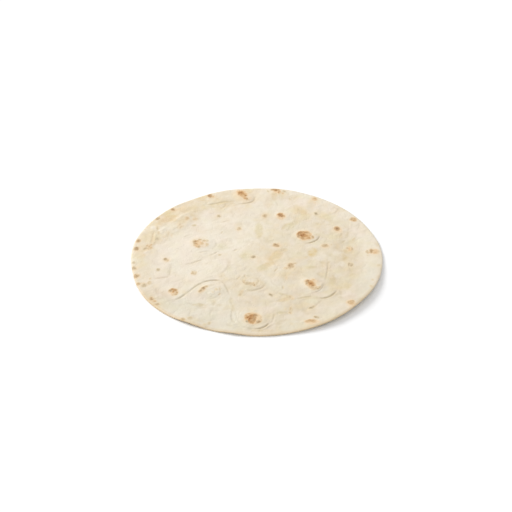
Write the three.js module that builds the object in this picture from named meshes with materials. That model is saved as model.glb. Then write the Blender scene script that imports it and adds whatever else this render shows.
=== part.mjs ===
// A flour tortilla lying on a table: one thin round of wheat dough, pressed out and baked on a hot plate.
// Its rim is a little uneven and lifts off the table in places, and bubbles in the dough have set as low blisters.
// Millimetres, +Z up. The origin is at the middle of the tortilla's box, on the table. The near side faces -Y.

import * as THREE from "three";
import { mergeVertices } from "three/addons/utils/BufferGeometryUtils.js";

// Driving dimensions
const DIAMETER = 250; // the size sold for burritos and wraps
const THICKNESS = 2.2; // of the sheet in its middle
const RIM_THICKNESS = 1.7; // where the press leaves the dough thinnest
const RIM_TAPER = 16; // width of the band in which the sheet thins to its rim
const FLAT_RADIUS = 84; // inside it the underside lies flat on the table

const RADIUS = DIAMETER / 2;

// How finely the sheet is divided
const SECTORS = 124; // round the rim
const TOP_RINGS = 31;
const TOP_RING_POWER = 0.72; // under 1, so that rings are widest apart in the plain middle
const UNDER_RINGS = 10; // from the edge of the flat underside to the rim
const RIM_STEPS = 4; // round the edge, from underside to top

// Departures of the outline from a circle: how many waves run round it, their size and the angle of one crest
const OUTLINE_WAVES = [
  { count: 2, size: 0.5, crest: 140 },
  { count: 3, size: 0.4, crest: 70 },
  { count: 5, size: 0.3, crest: 230 },
  { count: 11, size: 0.25, crest: 40 },
];
const OUTLINE_BULGE = { angle: 218, halfWidth: 26, size: 2.2 }; // where the dough was pressed out further

// Stretches of rim that lift off the table: the angle of the highest point, counted from +X towards +Y,
// half the angle they span, their height at the rim, and how far in from the rim they begin
const RIM_LIFTS = [
  { angle: 322, halfWidth: 54, height: 4.2, reach: 41 },
  { angle: 260, halfWidth: 10, height: 1.3, reach: 24 },
  { angle: 239, halfWidth: 11, height: 1.5, reach: 24 },
  { angle: 172, halfWidth: 38, height: 0.8, reach: 32 },
  { angle: 58, halfWidth: 44, height: 1.0, reach: 34 },
];

// Blisters on the top: the middle, the two lengths across, the angle of the first length, and the height
const BLISTERS = [
  { x: -4, y: -99, length: 40, width: 36, turn: 0, height: 1.0 }, // near rim
  { x: 54, y: -48, length: 32, width: 24, turn: -55, height: 0.9 }, // near right
  { x: 51, y: 34, length: 32, width: 24, turn: -30, height: 0.9 }, // right
  { x: -57, y: 21, length: 34, width: 28, turn: 0, height: 0.8 }, // left
  { x: -14, y: 108, length: 34, width: 24, turn: -55, height: 0.9 }, // far rim
  { x: -5, y: -46, length: 30, width: 24, turn: 10, height: 0.7 }, // near middle
  { x: -45, y: -58, length: 38, width: 26, turn: 20, height: 0.8 }, // near left
  { x: -79, y: 58, length: 44, width: 26, turn: 52, height: 0.7 }, // far left
  { x: 26, y: 70, length: 22, width: 20, turn: 0, height: 0.5 }, // far right
];
const BLISTER_SLOPE = 0.55; // share of a blister's half-width that is its slope; the rest is nearly level

// Broad unevenness of the top face: wavelength, direction of travel and height above and below the mean
const RUMPLES = [
  { wavelength: 61, direction: 24, height: 0.14 },
  { wavelength: 47, direction: 141, height: 0.12 },
  { wavelength: 34, direction: 83, height: 0.09 },
];

const radians = THREE.MathUtils.degToRad;
const smooth = (t) => THREE.MathUtils.smoothstep(t, 0, 1);

// A hump of height 1 at the given angle, falling to 0 at half its width on either side
function humpAt(angle, middle, halfWidth) {
  const away = THREE.MathUtils.euclideanModulo(angle - radians(middle) + Math.PI, 2 * Math.PI) - Math.PI;
  const share = Math.min(Math.abs(away) / radians(halfWidth), 1);
  return Math.cos((share * Math.PI) / 2) ** 2;
}

// Distance from the middle to the rim at an angle
function outline(angle) {
  const { angle: middle, halfWidth, size } = OUTLINE_BULGE;
  let reach = RADIUS + size * humpAt(angle, middle, halfWidth);
  for (const { count, size: height, crest } of OUTLINE_WAVES) {
    reach += height * Math.cos(count * (angle - radians(crest)));
  }
  return reach;
}

// Height of the underside above the table
function lift(radius, angle) {
  let height = 0;
  for (const { angle: middle, halfWidth, height: top, reach } of RIM_LIFTS) {
    height += top * humpAt(angle, middle, halfWidth) * smooth(1 - (RADIUS - radius) / reach);
  }
  return height;
}

function thickness(radius) {
  return THREE.MathUtils.lerp(RIM_THICKNESS, THICKNESS, smooth((RADIUS - radius) / RIM_TAPER));
}

// Height that the blisters and the unevenness of the dough add to the top face
function relief(x, y) {
  let height = 0;
  for (const { x: middleX, y: middleY, length, width, turn, height: top } of BLISTERS) {
    const spot = new THREE.Vector2(x - middleX, y - middleY).rotateAround(new THREE.Vector2(), -radians(turn));
    const away = Math.hypot((2 * spot.x) / length, (2 * spot.y) / width);
    height = Math.max(height, top * smooth((1 - away) / BLISTER_SLOPE));
  }
  for (const { wavelength, direction, height: size } of RUMPLES) {
    const along = x * Math.cos(radians(direction)) + y * Math.sin(radians(direction));
    height += size * Math.sin((2 * Math.PI * along) / wavelength);
  }
  return height;
}

// Half the section of a flat sheet, from the middle of the underside round the rim to the middle of the top.
// x is the distance from the middle, and y the height as a share of the thickness.
function section() {
  const points = [new THREE.Vector2(0, 0)];
  const rimStart = RADIUS - RIM_THICKNESS / 2;
  for (let ring = 0; ring < UNDER_RINGS; ring++) {
    points.push(new THREE.Vector2(THREE.MathUtils.lerp(FLAT_RADIUS, rimStart, ring / UNDER_RINGS), 0));
  }
  for (let step = 0; step <= RIM_STEPS; step++) {
    const turn = Math.PI * (step / RIM_STEPS - 1 / 2);
    points.push(new THREE.Vector2(rimStart + (RIM_THICKNESS / 2) * Math.cos(turn), (1 + Math.sin(turn)) / 2));
  }
  for (let ring = TOP_RINGS - 1; ring >= 0; ring--) {
    points.push(new THREE.Vector2(rimStart * (ring / TOP_RINGS) ** TOP_RING_POWER, 1));
  }
  return points;
}

// Where a point of the flat sheet comes to lie in the baked tortilla
function baked(flatX, flatY, share) {
  const angle = Math.atan2(flatY, flatX);
  const stretch = outline(angle) / RADIUS;
  const x = flatX * stretch;
  const y = flatY * stretch;
  const radius = Math.hypot(flatX, flatY);
  return [x, y, lift(radius, angle) + share * (thickness(radius) + relief(x, y))];
}

function tortillaGeometry() {
  const sheet = new THREE.LatheGeometry(section(), SECTORS);
  const place = sheet.getAttribute("position");
  for (let i = 0; i < place.count; i++) {
    place.setXYZ(i, ...baked(place.getZ(i), place.getX(i), place.getY(i)));
  }
  sheet.deleteAttribute("normal");
  sheet.deleteAttribute("uv");
  const closed = mergeVertices(sheet);
  closed.computeBoundingBox();
  const middle = closed.boundingBox.getCenter(new THREE.Vector3());
  closed.translate(-middle.x, -middle.y, 0);
  closed.computeVertexNormals();
  return closed;
}

const dough = new THREE.MeshStandardMaterial({ name: "dough", color: 0xe9ddc4, roughness: 0.75, metalness: 0 });

const tortilla = new THREE.Mesh(tortillaGeometry(), dough);
tortilla.name = "tortilla";

const part = new THREE.Group();
part.name = "flour_tortilla";
part.add(tortilla);

export default part;
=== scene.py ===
"""A flour tortilla on a table: the baked sheet as one fine closed mesh, its toasted dough, light and camera.

Shapes are worked out in millimetres, in the part's own frame, and turned into metres when the mesh is made.
+Z is up, the camera looks along +Y, and +X is to its right. Angles are in degrees, from +X towards +Y.
"""

import math
from collections import namedtuple

import bmesh
import bpy
import numpy as np
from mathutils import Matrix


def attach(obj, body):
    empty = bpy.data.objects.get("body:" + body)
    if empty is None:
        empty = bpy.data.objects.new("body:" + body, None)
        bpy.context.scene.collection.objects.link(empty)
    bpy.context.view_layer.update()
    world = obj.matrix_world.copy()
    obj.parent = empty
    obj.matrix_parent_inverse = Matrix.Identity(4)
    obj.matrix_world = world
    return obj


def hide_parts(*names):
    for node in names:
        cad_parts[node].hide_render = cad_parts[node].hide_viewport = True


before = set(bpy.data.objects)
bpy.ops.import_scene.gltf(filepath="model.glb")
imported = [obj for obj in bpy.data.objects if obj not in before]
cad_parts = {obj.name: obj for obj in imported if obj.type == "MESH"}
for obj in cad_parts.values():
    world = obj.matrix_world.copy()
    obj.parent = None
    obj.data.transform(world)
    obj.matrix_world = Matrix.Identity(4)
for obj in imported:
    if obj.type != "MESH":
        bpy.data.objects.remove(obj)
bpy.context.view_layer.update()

MM = 0.001  # metres in a millimetre
NODE = "tortilla"
SEED = 11

# The sheet: its sizes as in the solid that it replaces
RADIUS = 125
THICKNESS = 2.2
RIM_THICKNESS = 1.7
RIM_TAPER = 16  # width of the band in which the sheet thins towards its rim
RIM_ROUNDING = 2.4  # width of the band in which the faces round off to the edge
RIM_START = RADIUS - RIM_ROUNDING

# How finely the sheet is divided. Its faces are rings round the middle, and ring i has i points in a sector
SECTORS = 6
UNDER_RINGS = 50
TOP_RINGS = 2 * UNDER_RINGS
RIM_STEPS = 6
CREASE_BANDS = [2.6, 1.1]  # how near a crease each halving of the triangles begins
TOAST_MARGIN = 1.4  # how far from a toasted spot's middle they are halved, as a share of its half-width
FINE_TOAST = 0.5  # how brown a spot is for that

# Where the map for baking holds the two faces: the middle of each disc and its radius
TOP_MAP = (0.41, 0.405)
UNDER_MAP = (0.825, 0.17)

# Departures of the outline from a circle
Wave = namedtuple("Wave", "count size crest")
OUTLINE_WAVES = [Wave(2, 0.5, 140), Wave(3, 0.4, 70), Wave(5, 0.3, 230), Wave(11, 0.25, 40)]
BULGE_ANGLE = 218
BULGE_HALF_WIDTH = 26
BULGE_SIZE = 2.2

# Stretches of rim that lift off the table
Lift = namedtuple("Lift", "angle half_width height reach")
RIM_LIFTS = [
    Lift(322, 54, 4.2, 41),
    Lift(260, 10, 1.3, 24),
    Lift(239, 11, 1.5, 24),
    Lift(172, 38, 0.8, 32),
    Lift(58, 44, 1.0, 34),
]

# An oval on the face: its middle, its two lengths across, the angle of the first, and a height or a strength
Oval = namedtuple("Oval", "x y length width turn size")


def ovals(*rows):
    """Ovals, each from a row of its values."""
    return [Oval(*row) for row in rows]


BLISTER_SLOPE = 0.55  # over which a blister rises, as a share of its half-width
BLISTERS = ovals(
    (-4, -99, 40, 36, 0, 1.0), (54, -48, 32, 24, -55, 0.9), (51, 34, 32, 24, -30, 0.9),
    (-57, 21, 34, 28, 0, 0.8), (-14, 108, 34, 24, -55, 0.9), (-5, -46, 30, 24, 10, 0.7),
    (-45, -58, 38, 26, 20, 0.8), (-79, 58, 44, 26, 52, 0.7), (26, 70, 22, 20, 0, 0.5),
)

# Broad unevenness of the face: wavelength, direction of travel and height
Rumple = namedtuple("Rumple", "wavelength direction height")
RUMPLES = [Rumple(61, 24, 0.14), Rumple(47, 141, 0.12), Rumple(34, 83, 0.09)]

# Finer unevenness: shortest and longest wavelength, height, and how far in degrees the waves stray from
# the direction across the stretch of the dough
Ripple = namedtuple("Ripple", "shortest longest height spread")
STRETCH_ANGLE = 64
RIPPLES = [Ripple(16, 36, 0.07, 120), Ripple(7, 15, 0.055, 90), Ripple(3.5, 7, 0.034, 90)]
PALE_CALM = 0.5  # by how much the ripples and wrinkles are lower where the dough is palest
RUGGED_RIPPLE = Ripple(6, 14, 0.11, 90)
RUGGED_EDGE = 0.8  # soft part of a rugged patch, as a share of its half-width
RUGGED_PATCHES = ovals(
    (-86, 58, 75, 26, 52, 0.35), (-106, 22, 40, 26, 80, 0.6), (-45, 92, 50, 24, 20, 0.5),
    (90, 40, 60, 30, 70, 0.4), (30, -80, 50, 30, 20, 0.4),
)
WAVES_IN_RIPPLE = 48

# Creases pressed into the face where bubbles fell in, and raised folds, which have a depth under 0:
# how deep, how wide, and the points that they run through
Crease = namedtuple("Crease", "depth width points")
CREASES = [
    # Near left: a long bend, the edges of the bubble inside it, and terraces behind it
    Crease(0.17, 1.1, [(-88, -75.5), (-79, -74), (-73, -69), (-67, -62), (-61, -54), (-55, -47)]),
    Crease(0.29, 0.8, [(-81, -74), (-75, -71), (-70.5, -66.3), (-65.5, -60)]),
    Crease(0.35, 0.85, [(-67, -62), (-63, -57), (-58, -50.5), (-53, -45.8), (-48, -43)]),
    Crease(0.50, 0.9, [(-55, -47.5), (-50, -43.7), (-45, -42.2), (-40, -41.7), (-33, -43.5)]),
    Crease(0.22, 0.85, [(-38, -41), (-32, -46.5), (-29.5, -53), (-27.5, -60), (-25.5, -68)]),
    Crease(0.07, 0.9, [(-26, -64), (-24.8, -72), (-24, -78), (-22, -85)]),
    Crease(0.20, 0.8, [(-23.3, -82), (-23.6, -91), (-23.8, -99), (-22, -105), (-17, -109.5)]),
    Crease(0.16, 0.8, [(-20, -88), (-19.3, -96), (-17.5, -104), (-12, -110)]),
    Crease(0.22, 1.0, [(-103, -39), (-96, -38.7), (-90, -37), (-86, -35.5), (-84.5, -32)]),
    Crease(0.15, 1.3, [(-88, -36.5), (-85.5, -34), (-84.7, -27), (-84.8, -20), (-85.5, -12)]),
    Crease(0.22, 1.1, [(-75, -17), (-69, -15.3), (-64, -13.2), (-59, -10.4), (-54.5, -6.8), (-50, -3)]),
    Crease(0.20, 1.0, [(-50, -2.5), (-46, 0), (-42, 3.5), (-38, 8)]),
    Crease(0.13, 1.1, [(-28, -6), (-28, -16), (-30, -24), (-35, -31), (-43, -36)]),
    Crease(0.13, 0.8, [(-38, -50), (-35.5, -54), (-35, -59), (-36.5, -65), (-40, -70)]),
    Crease(0.10, 0.6, [(-44, -52), (-41, -53.5), (-39.3, -56.5)]),
    Crease(0.10, 0.6, [(-42.5, -55), (-40.3, -58), (-41, -61.5)]),
    Crease(0.10, 0.6, [(-49, -60.5), (-46.5, -63.5), (-43, -63.2)]),
    Crease(0.10, 0.6, [(-47, -66), (-43.5, -67.5), (-40, -66)]),
    Crease(0.10, 0.6, [(-38.5, -58), (-37.5, -61), (-38.5, -64)]),
    Crease(0.16, 0.7, [(-57, -63), (-54.5, -58), (-51.5, -54), (-47, -50.5), (-42, -49.5)]),
    Crease(0.10, 0.8, [(-44, -54), (-40.5, -57), (-40, -62), (-43, -67)]),
    Crease(0.10, 0.8, [(-50, -69), (-44, -70.5), (-38, -68)]),
    Crease(-0.22, 1.2, [(-46.5, -60), (-45.5, -62), (-44.5, -64)]),
    Crease(0.16, 1.0, [(-42, -72), (-40.5, -77), (-41, -83)]),
    Crease(0.13, 1.4, [(-97, -51), (-95.8, -60), (-94.5, -68)]),
    Crease(0.16, 0.9, [(-61, -87), (-63, -94), (-62.5, -100)]),
    Crease(0.13, 0.9, [(-41, -86), (-43.5, -92), (-43, -100)]),
    Crease(-0.10, 1.0, [(-40, -90), (-42, -96), (-41, -103)]),
    Crease(0.14, 0.9, [(-68, -76), (-62, -79), (-56, -79)]),
    Crease(0.15, 0.9, [(-28, -106), (-26, -110), (-21, -113)]),
    # Near rim: round the blister there
    Crease(0.16, 0.9, [(-16, -110), (-11, -113.5), (-6, -115.6), (-1, -116.3)]),
    Crease(0.54, 0.8, [(-5.5, -114.8), (-2, -115.6), (2.4, -115.3), (6.8, -113),
                       (10, -109.4), (12.6, -104.7)]),
    Crease(-0.16, 0.9, [(6.2, -116.4), (9.4, -113.8), (12, -110.6), (13.8, -107)]),
    Crease(-0.16, 0.9, [(4.5, -117.5), (8.5, -114.6), (11.5, -110.5)]),
    Crease(0.16, 0.8, [(9, -113), (12.8, -107.5), (15.2, -101), (16, -95), (15.3, -87)]),
    Crease(0.07, 0.8, [(12, -114.5), (17, -107), (19, -99)]),
    Crease(0.14, 0.8, [(-14, -110), (-17, -101), (-16.5, -92), (-12, -85)]),
    # Near the middle: round a blister that hardly browned, and right of it
    Crease(0.32, 1.1, [(-12, -58), (-6, -58.5), (0, -56.5), (5, -53.5), (9, -47)]),
    Crease(0.30, 0.7, [(-13, -37), (-13.5, -43), (-10, -48), (-4, -50), (0, -48.5)]),
    Crease(0.20, 0.7, [(-9, -40), (-8, -44.5), (-4, -46.5)]),
    Crease(0.22, 0.7, [(-1, -36), (1.5, -42), (0.5, -48)]),
    Crease(0.24, 0.8, [(-20, -42), (-18, -38), (-15.5, -33)]),
    Crease(0.22, 0.8, [(-12.5, -38), (-11.5, -34), (-12, -30)]),
    Crease(0.18, 0.8, [(16.5, -30), (18, -26.5), (20, -23), (20.5, -18)]),
    Crease(0.12, 0.8, [(18.5, -8), (18, -14), (18.5, -21)]),
    Crease(0.26, 0.8, [(25.5, -49), (25, -53), (25.5, -57)]),
    Crease(0.12, 0.9, [(14, -38), (15, -46), (20, -52)]),
    # Near right
    Crease(0.26, 0.85, [(70.5, -6), (70, -14), (69.5, -22), (68, -32), (66.5, -41), (66, -48)]),
    Crease(0.22, 0.6, [(65.3, -45.8), (64, -50.2), (62.3, -54.1), (59.9, -58), (55.9, -61), (49.8, -62.2)]),
    Crease(-0.26, 0.8, [(62.5, -44.5), (61.4, -50), (58, -55), (52.5, -57.8)]),
    Crease(0.56, 0.8, [(78.5, -53.5), (75, -60), (70.8, -65.5), (65.5, -68.8), (60, -70), (55, -70)]),
    Crease(0.20, 0.8, [(57, -67), (51, -68), (46, -69), (40, -70.5), (33, -69)]),
    Crease(0.16, 0.9, [(64, -70), (59, -76), (54, -83), (47, -88)]),
    Crease(0.14, 0.9, [(17, -91.5), (24, -92), (32, -92.5)]),
    Crease(0.07, 0.9, [(30.5, -83), (31.5, -88), (31, -95)]),
    Crease(0.12, 0.9, [(10, -77), (18, -74), (26, -71), (33, -67)]),
    Crease(0.16, 0.9, [(75, -54), (80, -60), (79, -68)]),
    # Right and far right
    Crease(0.44, 0.75, [(46, 20.5), (51, 21), (56, 22.5), (60, 25.5), (63, 30), (64.5, 37)]),
    Crease(0.08, 0.9, [(90, 31), (92.5, 37), (94, 44), (94.5, 52)]),
    Crease(-0.18, 1.1, [(95.5, 45), (96.6, 51), (97, 58)]),
    Crease(0.12, 0.8, [(84, 30), (86, 35), (87.5, 41)]),
    Crease(0.08, 0.8, [(102, 44), (105, 50), (105.5, 58)]),
    Crease(-0.14, 0.8, [(97, 26), (99, 31), (101, 37)]),
    Crease(0.14, 0.9, [(85, 21), (88, 24), (91, 28)]),
    Crease(0.16, 0.9, [(80, 73), (84, 80), (87, 89)]),
    Crease(0.10, 0.9, [(31, 40), (33, 48), (38, 55)]),
    Crease(0.13, 0.9, [(42, 88), (44, 82), (46, 76), (47, 69)]),
    Crease(0.16, 0.9, [(22.5, 88), (22, 92), (20, 98)]),
    # Far rim and left, in places rugged
    Crease(0.32, 0.9, [(-24, 92), (-17, 93.3), (-10, 94.5), (-5, 97.5), (-2.5, 102), (-2.5, 109)]),
    Crease(0.26, 1.1, [(-58, 90.5), (-49, 92.3), (-40, 95), (-33, 97), (-25, 97.5)]),
    Crease(0.12, 0.9, [(-36.5, 84), (-34, 88.5), (-31.5, 94)]),
    Crease(-0.48, 2.0, [(-86.2, 56), (-83.4, 62.2), (-80.2, 67.5), (-75.4, 72.6), (-70.3, 77), (-66, 79.5)]),
    Crease(0.22, 1.0, [(-108, 15), (-106.5, 26), (-106, 37), (-105, 47)]),
    Crease(-0.24, 1.0, [(-104.5, 17), (-103.7, 26), (-103.7, 37), (-104, 44)]),
    Crease(-0.22, 1.5, [(-108, 51.5), (-107, 49), (-106.5, 46.5)]),
    Crease(-0.36, 2.0, [(-99.5, 39), (-97.5, 43), (-95.5, 46.5), (-93, 50)]),
    Crease(-0.26, 1.1, [(-100, 36.5), (-97, 40), (-94.5, 42)]),
    Crease(0.24, 1.0, [(-102.5, 42), (-101.7, 47), (-102.5, 53)]),
    Crease(0.10, 1.1, [(-91, 30), (-90.5, 37), (-89.5, 44)]),
    Crease(0.08, 1.1, [(-88, 28), (-86.8, 34), (-85.8, 40)]),
    Crease(0.14, 0.8, [(-82, 46), (-80.5, 51), (-77.5, 55.5)]),
    Crease(0.12, 0.8, [(-79, 45), (-77.5, 49.5), (-75, 53)]),
    Crease(0.10, 0.9, [(-70, 51), (-66, 52.5), (-62, 52)]),
    Crease(-0.20, 1.0, [(-113, 2), (-110.5, 5.5), (-107.5, 8)]),
    Crease(0.10, 1.0, [(-75, 27), (-71, 34), (-62, 38)]),
    Crease(0.20, 0.9, [(-37, 57.5), (-32, 60.5), (-27, 63)]),
    Crease(0.24, 1.0, [(-60, 4), (-55, 5), (-51, 6.5), (-46, 7)]),
    Crease(0.12, 0.8, [(-37, 37), (-36, 40), (-34.5, 43)]),
    Crease(0.20, 0.9, [(-24, 7), (-21.5, 9), (-20, 12)]),
    Crease(0.10, 0.9, [(-45, 10), (-41, 17), (-42, 27)]),
]
# Faint wrinkles, which are strewn at random
WRINKLES = 240
WRINKLE_LENGTHS = (5, 16)
WRINKLE_WIDTHS = (0.7, 1.2)
WRINKLE_DEPTHS = (0.03, 0.13)
WRINKLE_STEPS = 4
WRINKLE_STRAY = 55  # in degrees, from the stretch of the dough
WRINKLE_BEND = 50
CREASE_STEP = 0.8  # between the points at which a crease's curve is worked out
CREASE_FADE = 0.35  # share of a crease at either end over which it dies out
CREASE_REACH = 6  # how far from a crease the face is changed at all, in widths
DEEPEST_CREASE = 0.5  # depth from which on the painted shade of a crease is as dark as any
LIP_HEIGHT = 0.3  # of the raised lip beside a crease, as a share of its depth
LIP_REACH = 2.4  # from the crease to its lip, in widths
SHADE_REACH = 1.3  # how far the painted shade of a crease reaches, in widths

# Toasted spots of the top: the size is how brown they are, from 0 to 1, and warm how orange that brown is
Toast = namedtuple("Toast", "x y length width turn size warm")


def spots(*rows):
    """Toasted spots, each from a row of its values."""
    return [Toast(*row) for row in rows]


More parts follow.
